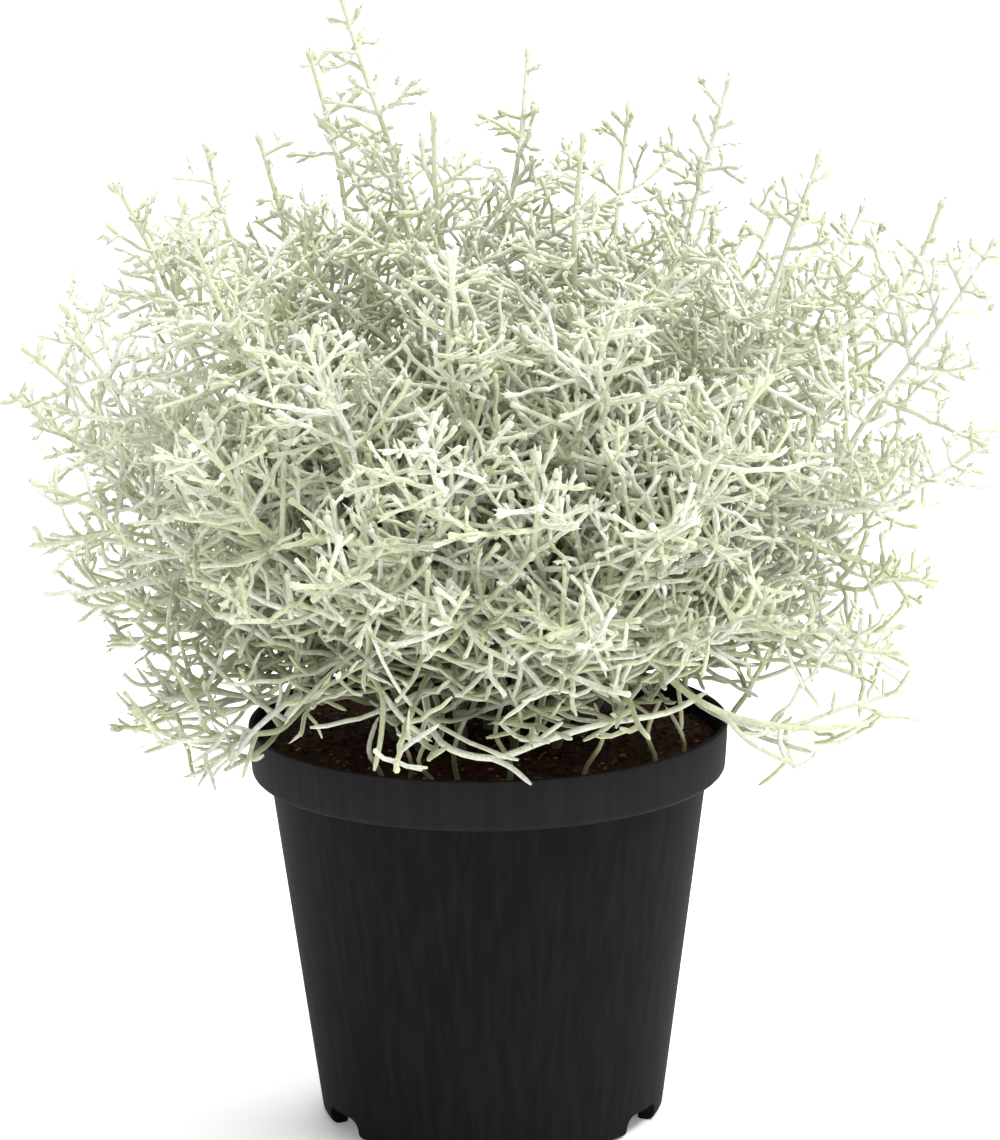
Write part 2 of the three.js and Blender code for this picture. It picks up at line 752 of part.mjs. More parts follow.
function pottedBush() {
  const group = new THREE.Group();
  const stems = growPlant();
  group.add(namedMesh('pot', potSolid(), potPlastic()));
  group.add(namedMesh('soil', soilSolid(stems), peat()));
  for (const stem of stems) {
    const label = String(stem.number + 1).padStart(2, '0');
    group.add(namedMesh(`leafy_stem_${label}`, stemSolid(stem), feltedStem()));
  }
  return group;
}

export default pottedBush();
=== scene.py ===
"""Looks of a silver cushion bush in its nursery pot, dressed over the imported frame.

The plant grows here by the same seeded rule as its solids, with smooth wood, every shoot and
every twig. The rule counts in millimetres and the meshes are made in metres.
"""
import logging
import math
from dataclasses import dataclass, field
from enum import IntEnum

import bmesh
import bpy
import numpy as np
from mathutils import Matrix, Vector, noise


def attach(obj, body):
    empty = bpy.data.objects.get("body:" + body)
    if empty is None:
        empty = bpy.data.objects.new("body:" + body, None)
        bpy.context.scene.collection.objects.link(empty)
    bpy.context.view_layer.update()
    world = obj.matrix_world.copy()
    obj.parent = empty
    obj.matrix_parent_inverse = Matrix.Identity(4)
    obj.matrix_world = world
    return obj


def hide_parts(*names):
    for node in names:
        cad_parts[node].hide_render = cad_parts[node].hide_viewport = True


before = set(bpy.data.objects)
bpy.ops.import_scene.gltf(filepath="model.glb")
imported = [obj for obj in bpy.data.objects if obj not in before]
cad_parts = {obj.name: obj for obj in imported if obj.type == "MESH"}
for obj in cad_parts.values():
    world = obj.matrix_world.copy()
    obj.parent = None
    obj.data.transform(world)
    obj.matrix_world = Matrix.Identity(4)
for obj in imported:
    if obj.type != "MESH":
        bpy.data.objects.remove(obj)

LOG = logging.getLogger("cushion_bush")
MM = 0.001
UP = Vector((0.0, 0.0, 1.0))


# Small helpers


def chance(a: int, b: int, c: int, d: int) -> float:
    """A seeded draw from 0 to 1 that depends on four whole numbers alone, the last for its purpose.

    Args:
        a, b, c, d: the numbers that name the draw.

    Returns:
        The draw.
    """
    mix = 2166136261
    for number in (a, b, c, d):
        mix = ((mix ^ (number + 97)) * 16777619) & 0xFFFFFFFF
    mix ^= mix >> 15
    mix = (mix * 2246822519) & 0xFFFFFFFF
    mix ^= mix >> 13
    mix = (mix * 3266489917) & 0xFFFFFFFF
    mix ^= mix >> 16
    return mix / 4294967296


def clamp(value: float, low: float, high: float) -> float:
    """The value, kept between low and high."""
    return min(high, max(low, value))


def share_between(value: float, ends: tuple[float, float]) -> float:
    """How far a value is from the first end to the second, from 0 to 1."""
    return clamp((value - ends[0]) / (ends[1] - ends[0]), 0.0, 1.0)


def length_of(points: list[Vector]) -> float:
    """The length of the line through the points."""
    return sum((b - a).length for a, b in zip(points, points[1:]))


def point_along(points: list[Vector], distance: float) -> tuple[Vector, Vector]:
    """The place at a distance along a line of points.

    Args:
        points: the line.
        distance: how far along it, from its first point.

    Returns:
        The point there, and the line's direction.
    """
    left = distance
    index = 0
    while index < len(points) - 2 and left > (points[index + 1] - points[index]).length:
        left -= (points[index + 1] - points[index]).length
        index += 1
    before, after = points[index], points[index + 1]
    share = min(1.0, left / (after - before).length)
    return before.lerp(after, share), (after - before).normalized()


def any_across(direction: Vector) -> Vector:
    """A direction square to the given one, level where that can be."""
    across = direction.cross(UP)
    if across.length < 0.2:
        across = direction.cross(Vector((0.0, 1.0, 0.0)))
    return across.normalized()


class Graph:
    """Adds nodes to a node tree and links them as they are added."""

    def __init__(self, tree: bpy.types.NodeTree) -> None:
        """Starts on a tree.

        Args:
            tree: a Geometry Nodes or shader tree.
        """
        self.tree = tree

    def add(self, kind: str, sockets: dict | None = None, **settings: object) -> bpy.types.Node:
        """Adds one node.

        Args:
            kind: the node's Blender type.
            sockets: for an input's name or number, its value or the socket that feeds it.
            settings: the node's properties.

        Returns:
            The node.
        """
        node = self.tree.nodes.new(kind)
        for name, value in settings.items():
            setattr(node, name, value)
        for key, value in (sockets or {}).items():
            if isinstance(value, bpy.types.NodeSocket):
                self.tree.links.new(value, node.inputs[key])
            else:
                node.inputs[key].default_value = value
        return node

    def math(self, operation: str, first: object, second: object = 0.0) -> bpy.types.NodeSocket:
        """The result of one Math node, fed by sockets or plain numbers."""
        return self.add("ShaderNodeMath", {0: first, 1: second}, operation=operation).outputs[0]

    def attribute(self, name: str) -> bpy.types.NodeSocket:
        """A number attribute of the geometry, in a Geometry Nodes tree."""
        node = self.add("GeometryNodeInputNamedAttribute", {"Name": name}, data_type="FLOAT")
        return node.outputs[0]

    def draw(self, low: float, high: float, seed: object) -> bpy.types.NodeSocket:
        """A random number for each element, between low and high."""
        node = self.add("FunctionNodeRandomValue", {2: low, 3: high, 8: seed}, data_type="FLOAT")
        return node.outputs[1]

    def turn(self, x: object, y: object, z: object) -> bpy.types.NodeSocket:
        """A vector out of three numbers."""
        return self.add("ShaderNodeCombineXYZ", {0: x, 1: y, 2: z}).outputs[0]


def node_group(name: str, inputs: dict[str, str]) -> tuple[Graph, bpy.types.Node]:
    """An empty Geometry Nodes tree with a geometry input and named inputs.

    Args:
        name: the tree's name.
        inputs: for each further input, its name and socket type.

    Returns:
        The tree's graph, and its group input node.
    """
    tree = bpy.data.node_groups.new(name, "GeometryNodeTree")
    tree.interface.new_socket("Geometry", in_out="INPUT", socket_type="NodeSocketGeometry")
    for label, kind in inputs.items():
        tree.interface.new_socket(label, in_out="INPUT", socket_type=kind)
    tree.interface.new_socket("Geometry", in_out="OUTPUT", socket_type="NodeSocketGeometry")
    graph = Graph(tree)
    return graph, graph.add("NodeGroupInput")


def run_nodes(base: bpy.types.Object, graph: Graph, values: dict[str, object]) -> bpy.types.Object:
    """Runs a tree on an object and keeps the result as a plain mesh under the object's name.

    Args:
        base: the object that the tree starts from.
        graph: the tree.
        values: the modifier's inputs, by name.

    Returns:
        A new object with the evaluated mesh.
    """
    modifier = base.modifiers.new("growth", "NODES")
    modifier.node_group = graph.tree
    for item in graph.tree.interface.items_tree:
        if item.in_out == "INPUT" and item.name in values:
            modifier[item.identifier] = values[item.name]
    bpy.context.view_layer.update()
    evaluated = base.evaluated_get(bpy.context.evaluated_depsgraph_get())
    mesh = bpy.data.meshes.new_from_object(evaluated)
    name = base.name
    bpy.data.objects.remove(base)
    mesh.name = name
    return link_mesh(name, mesh)


def link_mesh(name: str, mesh: bpy.types.Mesh) -> bpy.types.Object:
    """Puts a mesh in the scene as an object at the origin."""
    piece = bpy.data.objects.new(name, mesh)
    bpy.context.scene.collection.objects.link(piece)
    return piece


def place_piece(piece: bpy.types.Object, slot: str, *nodes: str) -> None:
    """Lets a finished piece ride on the root body in place of CAD nodes, and reports it.

    Args:
        piece: the finished piece.
        slot: the name of a material slot; not used.
        nodes: the CAD nodes that it stands for.
    """
    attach(piece, "root")
    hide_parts(*nodes)
    piece.data.calc_loop_triangles()
    LOG.info("%s: %d triangles for %s", piece.name, len(piece.data.loop_triangles), ", ".join(nodes))


# Finishes


class Shader(Graph):
    """A node material with one Principled shader, and the nodes that feed it."""

    def __init__(self, name: str) -> None:
        """Starts a material.

        Args:
            name: the material's name.
        """
        self.material = bpy.data.materials.new(name)
        self.material.use_nodes = True
        super().__init__(self.material.node_tree)

    def place(self) -> bpy.types.NodeSocket:
        """The places on the object, in metres."""
        return self.add("ShaderNodeTexCoord").outputs["Object"]

    def carried(self, name: str) -> bpy.types.NodeSocket:
        """A number that the mesh carries."""
        return self.add("ShaderNodeAttribute", attribute_name=name).outputs["Fac"]

    def noise(self, place: object, scale: float, detail: float) -> bpy.types.NodeSocket:
        """Smooth noise over places, from about 0 to 1."""
        sockets = {"Vector": place, "Scale": scale, "Detail": detail}
        return self.add("ShaderNodeTexNoise", sockets).outputs["Fac"]

    def spread(self, value: object, source: tuple = (0.0, 1.0),
               result: tuple = (0.0, 1.0)) -> bpy.types.NodeSocket:
        """A value moved from one range to another and held inside it."""
        sockets = {0: value, 1: source[0], 2: source[1], 3: result[0], 4: result[1]}
        return self.add("ShaderNodeMapRange", sockets).outputs[0]

    def mix(self, share: object, first: object, second: object) -> bpy.types.NodeSocket:
        """A colour between two others."""
        return self.add("ShaderNodeMix", {0: share, 6: first, 7: second}, data_type="RGBA").outputs[2]

    def bump(self, height: object, form: tuple[float, float], below: object = None) -> bpy.types.NodeSocket:
        """A surface roughened by a height.

        Args:
            height: the height, from 0 to 1.
            form: the bump's strength, and its depth in metres.
            below: the bump that it lies on, if any.

        Returns:
            The bent normal.
        """
        sockets = {"Strength": form[0], "Distance": form[1], "Height": height}
        if below is not None:
            sockets["Normal"] = below
        return self.add("ShaderNodeBump", sockets).outputs[0]

    def feed(self, **inputs: object) -> bpy.types.Material:
        """Feeds the Principled shader.

        Args:
            inputs: its inputs, with _ for a space, each a socket or a plain value.

        Returns:
            The finished material.
        """
        shader = self.tree.nodes["Principled BSDF"]
        for label, value in inputs.items():
            socket = shader.inputs[label.replace("_", " ")]
            if isinstance(value, bpy.types.NodeSocket):
                self.tree.links.new(value, socket)
            else:
                socket.default_value = value
        return self.material


@dataclass(frozen=True)
class FeltFinish:
    """The white felt on wood and leaves: yellow-green in patches, worn bare here and there, and darkened to
    olive in the crown's heart and low front by painted shade, partly the older inner wood's own olive.
    """

    white: tuple = (0.80, 0.815, 0.745, 1.0)
    green: tuple = (0.56, 0.61, 0.35, 1.0)
    bare: tuple = (0.25, 0.27, 0.13, 1.0)
    # inside: painted shade, the dark olive that deep felt is mixed to, partly the older inner wood's own
    # olive
    inside: tuple = (0.13, 0.14, 0.055, 1.0)
    young: tuple = (0.91, 0.935, 0.78, 1.0)
    base: tuple = (0.36, 0.28, 0.10, 1.0)
    patch_noise: tuple = (55.0, 3.0)
    patch_middle: float = 0.45
    patch_force: float = 1.6
    greener_in_painted_shade: float = 0.4
    fibre_noise: tuple = (900.0, 4.0)
    fibre_range: tuple = (0.3, 0.7)
    fibre_wear: tuple = (0.76, 1.14)
    lots: float = 7.3
    lot_wear: tuple = (0.74, 1.05)
    rub_noise: tuple = (85.0, 2.0)
    rub_by_lot: float = 0.22
    rub_range: tuple = (0.66, 0.84)
    barest: float = 0.7
    felt_kept_young: float = 0.6
    freshest: float = 0.42
    roughness: float = 0.9
    sheen: tuple = (0.35, 0.5)
    specular: float = 0.25
    bump: tuple = (0.25, 0.0004)

    def material(self) -> bpy.types.Material:
        """Makes the material.

        Returns:
            The material, which reads the pieces' own tone, depth, age and youth; depth sets how much painted
            shade the felt takes.
        """
        shader = Shader("felted_wood")
        place = shader.place()
        tone, depth, age, youth = (shader.carried(name) for name in ("tone", "depth", "age", "youth"))
        patches = shader.math("SUBTRACT", shader.noise(place, *self.patch_noise), self.patch_middle)
        toned = shader.math("ADD", tone, shader.math("MULTIPLY", patches, self.patch_force))
        # Painted shade: the felt turns greener with depth, like olive shade inside the crown
        share = shader.math("ADD", toned, shader.math("MULTIPLY", depth, self.greener_in_painted_shade))
        felt = shader.mix(shader.add("ShaderNodeClamp", {0: share}).outputs[0], self.white, self.green)
        fibres = shader.noise(place, *self.fibre_noise)
        lot = shader.math("FRACT", shader.math("MULTIPLY", tone, self.lots))
        wear = shader.math("MULTIPLY", shader.spread(fibres, self.fibre_range, self.fibre_wear),
                           shader.spread(lot, result=self.lot_wear))
        worn = shader.add("ShaderNodeVectorMath", {0: felt, "Scale": wear}, operation="SCALE").outputs[0]
        aged = shader.mix(shader.math("MULTIPLY", age, lot), worn, self.base)
        fresh = shader.mix(shader.math("MULTIPLY", youth, self.freshest), aged, self.young)
        rubbed = shader.math("ADD", shader.noise(place, *self.rub_noise),
                             shader.math("MULTIPLY", lot, self.rub_by_lot))
        held = shader.math("SUBTRACT", 1.0, shader.math("MULTIPLY", youth, self.felt_kept_young))
        bared = shader.math("MULTIPLY", shader.spread(rubbed, self.rub_range, (0.0, self.barest)), held)
        return shader.feed(
            # Painted shade: depth mixes the felt towards the dark olive inside colour
            Base_Color=shader.mix(depth, shader.mix(bared, fresh, self.bare), self.inside),
            Normal=shader.bump(fibres, self.bump), Roughness=self.roughness, Sheen_Weight=self.sheen[0],
            Sheen_Roughness=self.sheen[1], Specular_IOR_Level=self.specular)


@dataclass(frozen=True)
class PotPlasticFinish:
    """Matte black moulded plastic with faint streaks down the wall, and a rim band painted paler for the
    light from above.
    """

    colour: tuple = (0.0065, 0.0062, 0.0072, 1.0)
    # The paler colour of the real streaks, and of the painted light on the rim band
    streak_and_rim_light_colour: tuple = (0.018, 0.0172, 0.019, 1.0)
    stretch: tuple = (1.0, 1.0, 0.04)
    streak_noise: tuple = (420.0, 3.0)
    streak_range: tuple = (0.4, 0.75)
    streak_share: float = 0.4
    # Above this height the rim band is painted paler: painted light from above
    band_bottom: float = 0.0962
    rim_band_painted_light: float = 0.6
    grain_noise: tuple = (2600.0, 2.0)
    roughness: tuple = (0.6, 0.8)
    ridge_bump: tuple = (0.25, 0.0003)
    grain_bump: tuple = (0.12, 0.0001)
    specular: float = 0.06

    def material(self) -> bpy.types.Material:
        """Makes the material.

        Returns:
            The material, with streaks along Z.
        """
        shader = Shader("black_pot_plastic")
        place = shader.place()
        stretched = shader.add("ShaderNodeMapping", {"Vector": place, "Scale": self.stretch}).outputs[0]
        streaks = shader.noise(stretched, *self.streak_noise)
        grain = shader.noise(place, *self.grain_noise)
        height = shader.add("ShaderNodeSeparateXYZ", {0: place}).outputs[2]
        is_band = shader.math("GREATER_THAN", height, self.band_bottom)
        # Real streaks, plus painted light on the rim band
        streak_and_rim_light_share = shader.math(
            "ADD", shader.math("MULTIPLY", shader.spread(streaks, self.streak_range), self.streak_share),
            shader.math("MULTIPLY", is_band, self.rim_band_painted_light))
        return shader.feed(
            Base_Color=shader.mix(streak_and_rim_light_share, self.colour, self.streak_and_rim_light_colour),
            Roughness=shader.spread(grain, result=self.roughness),
            Normal=shader.bump(grain, self.grain_bump, shader.bump(streaks, self.ridge_bump)),
            Specular_IOR_Level=self.specular)


@dataclass(frozen=True)
class PeatFinish:
    """Dark, reddish-brown peat with paler crumbs and fibres."""

    dark: tuple = (0.015, 0.006, 0.004, 1.0)
    warm: tuple = (0.078, 0.024, 0.013, 1.0)
    pale: tuple = (0.36, 0.22, 0.12, 1.0)
    clod_noise: tuple = (320.0, 6.0)
    clod_range: tuple = (0.35, 0.7)
    bump: tuple = (0.7, 0.0008)
    roughness: float = 0.95
    specular: float = 0.2

    def material(self) -> bpy.types.Material:
        """Makes the material.

        Returns:
            The material, which reads the pieces' own paleness.
        """
        shader = Shader("peat")
        clods = shader.noise(shader.place(), *self.clod_noise)
        earth = shader.mix(shader.spread(clods, self.clod_range), self.dark, self.warm)
        return shader.feed(
            Base_Color=shader.mix(shader.carried("paleness"), earth, self.pale),
            Normal=shader.bump(clods, self.bump), Roughness=self.roughness, Specular_IOR_Level=self.specular)


# The pot


@dataclass
class NurseryPot:
    """The moulded pot, in metres: rim band, tapering wall, foot ring, arched notches and drains."""

    height: float = 0.110
    rim_radius: float = 0.065
    rim_band: float = 0.014
    rim_flare: float = 0.0007
    rim_round: float = 0.002
    lip: float = 0.0006
    body_top_radius: float = 0.0594
    foot_radius: float = 0.047
    foot_round: float = 0.0026
    foot_ring: float = 0.0024
    wall: float = 0.0014
    floor_rise: float = 0.0066
    floor_thickness: float = 0.0016
    notches: int = 6
    notch_width: float = 0.0155
    notch_height: float = 0.0058
    notch_depth: float = 0.012
    drains: int = 4
    drain_radius: float = 0.004
    drain_circle: float = 0.030
    drain_cut: float = 0.02
    edge: float = 0.0004
    inner_foot_round: float = 0.001
    sides: int = 160
    sharp_angle: float = 35.0
    finish: PotPlasticFinish = field(default_factory=PotPlasticFinish)

    def body_radius(self, height: float) -> float:
        """The outer radius of the tapering wall at a height."""
        share = (height - self.foot_round) / (self.height - self.rim_band - self.foot_round)
        return self.foot_radius + (self.body_top_radius - self.foot_radius) * share

    def profile(self) -> list[tuple[float, float]]:
        """The half section of the pot, from the middle under the floor round to its top.

        Returns:
            Points of radius and height.
        """
        bottom = self.height - self.rim_band
        ledge = bottom + self.wall
        band = self.rim_radius - self.rim_flare
        floor_top = self.floor_rise + self.floor_thickness
        ring = self.foot_radius - self.foot_round - self.foot_ring
        edge, inner_round = self.edge, self.inner_foot_round
        points = [(0.0, self.floor_rise), (ring - edge, self.floor_rise), (ring, self.floor_rise - edge)]
        points += [(ring, edge), (ring + edge, 0.0)]
        points += self._arc(self.foot_radius - self.foot_round, self.foot_round, self.foot_round, -90, 0, 6)
        points += [(self.body_radius(h), h) for h in np.linspace(self.foot_round, bottom, 9)[1:-1]]
        points += [(self.body_top_radius - edge * 0.2, bottom - edge), (self.body_top_radius + edge, bottom)]
        points += self._arc(band - self.rim_round, bottom + self.rim_round, self.rim_round, -90, 0, 6)
        points += [(band + self.rim_flare * 0.5, self.height - self.rim_band * 0.5)]
        points += self._arc(self.rim_radius - self.lip, self.height - self.lip, self.lip, 0, 90, 4)
        inner = self.rim_radius - self.wall
        points += [(inner + edge, self.height), (inner, self.height - edge)]
        points += [(band - self.wall, ledge + edge), (band - self.wall - edge, ledge)]
        points += [(self.body_radius(ledge) - self.wall + edge, ledge)]
        points += [(self.body_radius(ledge) - self.wall, ledge - edge)]
        points += [(self.body_radius(floor_top) - self.wall, floor_top + inner_round)]
        points += [(self.body_radius(floor_top) - self.wall - inner_round, floor_top), (0.0, floor_top)]
        return points

    @staticmethod
    def _arc(x: float, z: float, radius: float, start: float, end: float, steps: int) -> list:
        """Points on an arc round (x, z), from one angle in degrees to another."""
        turns = [math.radians(a) for a in np.linspace(start, end, steps)]
        return [(x + radius * math.cos(t), z + radius * math.sin(t)) for t in turns]

    def build(self) -> bpy.types.Object:
        """Turns the profile and cuts the foot notches and drains.

        Returns:
            The pot as a plain mesh.
        """
        shell = link_mesh("nursery_pot", lathe_mesh("nursery_pot", self.profile(), self.sides))
        graph, group = node_group("pot_openings", {
            "Notches": "NodeSocketInt", "Notch radius": "NodeSocketFloat",
            "Notch width": "NodeSocketFloat", "Notch height": "NodeSocketFloat",
            "Notch depth": "NodeSocketFloat", "Drains": "NodeSocketInt",
            "Drain circle": "NodeSocketFloat", "Drain radius": "NodeSocketFloat",
            "Material": "NodeSocketMaterial",
        })
        arch = graph.add("GeometryNodeCurvePrimitiveQuadrilateral", {
            0: group.outputs["Notch width"],
            1: graph.math("MULTIPLY", group.outputs["Notch height"], 2.0)})
        soft = graph.add("GeometryNodeFilletCurve", {
            "Curve": arch.outputs[0], "Radius": graph.math("MULTIPLY", group.outputs["Notch height"], 0.5),
            "Count": 5, "Limit Radius": True}, mode="POLY")
        run = graph.add("GeometryNodeCurvePrimitiveLine", {
            "Start": (0.0, 0.0, 0.0), "End": graph.turn(0.0, group.outputs["Notch depth"], 0.0)})
        notch = graph.add("GeometryNodeCurveToMesh", {
            "Curve": run.outputs[0], "Profile Curve": soft.outputs[0], "Fill Caps": True})
        cuts = [self._ring(graph, group.outputs["Notches"], group.outputs["Notch radius"], notch.outputs[0])]
        drain = graph.add("GeometryNodeMeshCylinder", {
            "Vertices": 24, "Radius": group.outputs["Drain radius"], "Depth": self.drain_cut})
        cuts.append(self._ring(graph, group.outputs["Drains"], group.outputs["Drain circle"],
                               drain.outputs[0]))
        joined = graph.add("GeometryNodeJoinGeometry")
        for cut in cuts:
            graph.tree.links.new(cut, joined.inputs[0])
        cut_pot = graph.add("GeometryNodeMeshBoolean", {
            0: group.outputs["Geometry"], 1: joined.outputs[0]}, operation="DIFFERENCE", solver="EXACT")
        finished = graph.add("GeometryNodeSetMaterial", {
            "Geometry": cut_pot.outputs[0], "Material": group.outputs["Material"]})
        graph.add("NodeGroupOutput", {0: finished.outputs[0]})
        return run_nodes(shell, graph, {
            "Notches": self.notches,
            "Notch radius": self.foot_radius - self.foot_round - self.notch_depth / 2,
            "Notch width": self.notch_width, "Notch height": self.notch_height,
            "Notch depth": self.notch_depth, "Drains": self.drains, "Drain circle": self.drain_circle,
            "Drain radius": self.drain_radius, "Material": self.finish.material()})

    @staticmethod
    def _ring(graph: Graph, count: object, radius: object, cutter: object) -> bpy.types.NodeSocket:
        """Copies a cutter round the Z axis, its +Y outwards, the first copy at the front."""
        circle = graph.add("GeometryNodeMeshCircle", {"Vertices": count, "Radius": radius})
        turned = graph.add("GeometryNodeTransform", {
            "Geometry": circle.outputs[0], "Rotation": (0.0, 0.0, -math.pi / 2)})
        index = graph.add("GeometryNodeInputIndex").outputs[0]
        step = graph.math("DIVIDE", 2.0 * math.pi, count)
        turn = graph.math("SUBTRACT", graph.math("MULTIPLY", index, step), math.pi)
        copies = graph.add("GeometryNodeInstanceOnPoints", {
            "Points": turned.outputs[0], "Instance": cutter, "Rotation": graph.turn(0.0, 0.0, turn)})
        return graph.add("GeometryNodeRealizeInstances", {0: copies.outputs[0]}).outputs[0]

    def dress(self) -> None:
        """Builds the pot and lets it stand for its node."""
        pot = self.build()
        shade_by_angle(pot, self.sharp_angle)
        place_piece(pot, "pot_plastic", "pot")


def lathe_mesh(name: str, profile: list[tuple[float, float]], sides: int) -> bpy.types.Mesh:
    """Turns a half section round the Z axis.

    Args:
        name: the mesh's name.
        profile: points of radius and height, with the first and last on the axis.
        sides: the number of steps round.

    Returns:
        A closed mesh with its faces outwards.
    """
    shape = bmesh.new()
    first = shape.verts.new((0.0, 0.0, profile[0][1]))
    last = shape.verts.new((0.0, 0.0, profile[-1][1]))
    turns = [2 * math.pi * side / sides for side in range(sides)]
    rings = [[shape.verts.new((r * math.sin(t), -r * math.cos(t), z)) for t in turns]
             for r, z in profile[1:-1]]
    for side in range(sides):
        after = (side + 1) % sides
        shape.faces.new((first, rings[0][after], rings[0][side]))
        shape.faces.new((last, rings[-1][side], rings[-1][after]))
        for low, high in zip(rings, rings[1:]):
            shape.faces.new((low[side], low[after], high[after], high[side]))
    bmesh.ops.recalc_face_normals(shape, faces=shape.faces[:])
    mesh = bpy.data.meshes.new(name)
    shape.to_mesh(mesh)
    shape.free()
    return mesh


def shade_by_angle(piece: bpy.types.Object, degrees: float) -> None:
    """Shades a mesh smooth, but for edges sharper than the angle."""
    shape = bmesh.new()
    shape.from_mesh(piece.data)
    for face in shape.faces:
        face.smooth = True
    limit = math.radians(degrees)
    for edge in shape.edges:
        edge.smooth = len(edge.link_faces) == 2 and edge.calc_face_angle(0.0) < limit
    shape.to_mesh(piece.data)
    shape.free()


# The soil


GRIT_SHIFT = Vector((3.0, 1.0, 7.0))
LITTER_FLATNESS = 0.8
LITTER_TILT = 0.35
LITTER_TURN = 6.28
PALE_CRUMB_RARITY = 9.0
PALE_FIBRE_RARITY = 3.0


@dataclass
class PeatBed:
    """The peat that fills the pot, in metres, with crumbs and fibres on its top."""

    pot: NurseryPot
    edge_height: float = 0.103
    mound: float = 0.0035
    side_gap: float = 0.0005
    floor_gap: float = 0.0003
    edge_drop: float = 0.002
    edge_fade: float = 0.003
    edge_roughness: float = 0.3
    clod_height: float = 0.0011
    clod_fineness: float = 130.0
    grit_height: float = 0.0005
    grit_fineness: float = 700.0
    octaves: int = 3
    touch: float = 0.0001
    crumb_radius: float = 0.0006
    crumb_scale: tuple = (0.4, 1.5)
    fibre_arc: tuple = (0.004, 1.3)
    fibre_middle: tuple = (-0.003, -0.0025, 0.0)
    fibre_radius: float = 0.00011
    fibre_scale: tuple = (0.5, 1.6)
    fibre_margin: float = 0.0046
    steepest_top: float = 0.4
    rings: int = 44
    sides: int = 150
    crumbs_per_area: float = 150000.0
    fibres_per_area: float = 26000.0
    seed: int = 5
    finish: PeatFinish = field(default_factory=PeatFinish)

    @property
    def top_radius(self) -> float:
        """The radius of the top, just inside the rim band."""
        return self.pot.rim_radius - self.pot.rim_flare - self.pot.wall - self.side_gap

    def height_at(self, radius: float) -> float:
        """The height of the mounded top at a distance from the axis."""
        share = clamp(radius / self.pot.rim_radius, 0.0, 1.0)
        return self.edge_height + self.mound * (1.0 - share * share)

    def bed_mesh(self) -> bpy.types.Mesh:
        """The closed body of the soil with a rough top.

        Returns:
            The mesh, in which a number named paleness is 0 everywhere.
        """
        pot = self.pot
        floor = pot.floor_rise + pot.floor_thickness + self.floor_gap
        ledge = pot.height - pot.rim_band + pot.wall + self.floor_gap
        top = self.top_radius
        inset = pot.wall + self.side_gap
        profile = [(0.0, floor), (pot.body_radius(floor) - inset, floor),
                   (pot.body_radius(ledge) - inset, ledge), (top, ledge),
                   (top, self.edge_height - self.edge_drop)]
        profile += [(top * ring / self.rings, self.height_at(top * ring / self.rings))
                    for ring in range(self.rings, -1, -1)]
        mesh = lathe_mesh("peat_bed", profile, self.sides)
        for vertex in mesh.vertices:
            radius = math.hypot(vertex.co.x, vertex.co.y)
            if vertex.co.z > self.edge_height - self.touch and radius < top - 2 * self.touch:
                inwards = clamp((top - radius) / self.edge_fade, self.edge_roughness, 1.0)
                vertex.co.z += self._roughness_at(vertex.co) * inwards
        attribute = mesh.attributes.new("paleness", "FLOAT", "POINT")
        attribute.data.foreach_set("value", [0.0] * len(mesh.vertices))
        return mesh

    def _roughness_at(self, place: Vector) -> float:
        """How far clods and grit raise the top at a place."""
        clods = noise.fractal(place * self.clod_fineness, 1.0, 2.0, self.octaves)
        grit = noise.fractal(place * self.grit_fineness + GRIT_SHIFT, 0.8, 2.0, self.octaves)
        return self.clod_height * clods + self.grit_height * grit

    def litter_graph(self) -> Graph:
        """The tree that strews crumbs and fibres over the top.

        Returns:
            The tree, which ends in a realized mesh with its material set.
        """
        graph, group = node_group("peat_litter", {
            "Crumbs": "NodeSocketFloat", "Fibres": "NodeSocketFloat", "Fibre reach": "NodeSocketFloat",
            "Seed": "NodeSocketInt", "Material": "NodeSocketMaterial"})
        facing = graph.add("ShaderNodeSeparateXYZ", {0: graph.add("GeometryNodeInputNormal").outputs[0]})
        is_top = graph.math("GREATER_THAN", facing.outputs[2], self.steepest_top)
        crumb = graph.add("GeometryNodeMeshIcoSphere", {"Radius": self.crumb_radius, "Subdivisions": 1})
        crumbs = self._strew(graph, group, is_top, "Crumbs", crumb.outputs[0], self.crumb_scale, 0)
        radius, sweep = self.fibre_arc
        fibre_line = graph.add("GeometryNodeCurveArc", {"Resolution": 6, "Radius": radius,
                                                        "Sweep Angle": sweep}, mode="RADIUS")
        fibre_ring = graph.add("GeometryNodeCurvePrimitiveCircle", {
            "Resolution": 3, "Radius": self.fibre_radius})
        fibre = graph.add("GeometryNodeCurveToMesh", {
            "Curve": fibre_line.outputs[0], "Profile Curve": fibre_ring.outputs[0], "Fill Caps": True})
        centred = graph.add("GeometryNodeTransform", {
            "Geometry": fibre.outputs[0], "Translation": self.fibre_middle})
        place = graph.add("ShaderNodeSeparateXYZ", {0: graph.add("GeometryNodeInputPosition").outputs[0]})
        squares = [graph.math("MULTIPLY", side, side) for side in (place.outputs[0], place.outputs[1])]
        reach = graph.math("SQRT", graph.math("ADD", *squares))
        is_off_wall = graph.math("MULTIPLY", is_top, graph.math(
            "LESS_THAN", reach, group.outputs["Fibre reach"]))
        fibres = self._strew(graph, group, is_off_wall, "Fibres", centred.outputs[0],
                             self.fibre_scale, 40)
        joined = graph.add("GeometryNodeJoinGeometry")
        for geometry in (group.outputs["Geometry"], crumbs, fibres):
            graph.tree.links.new(geometry, joined.inputs[0])
        smooth = graph.add("GeometryNodeSetShadeSmooth", {
            "Geometry": graph.add("GeometryNodeRealizeInstances", {0: joined.outputs[0]}).outputs[0]})
        finished = graph.add("GeometryNodeSetMaterial", {
            "Geometry": smooth.outputs[0], "Material": group.outputs["Material"]})
        graph.add("NodeGroupOutput", {0: finished.outputs[0]})
        return graph

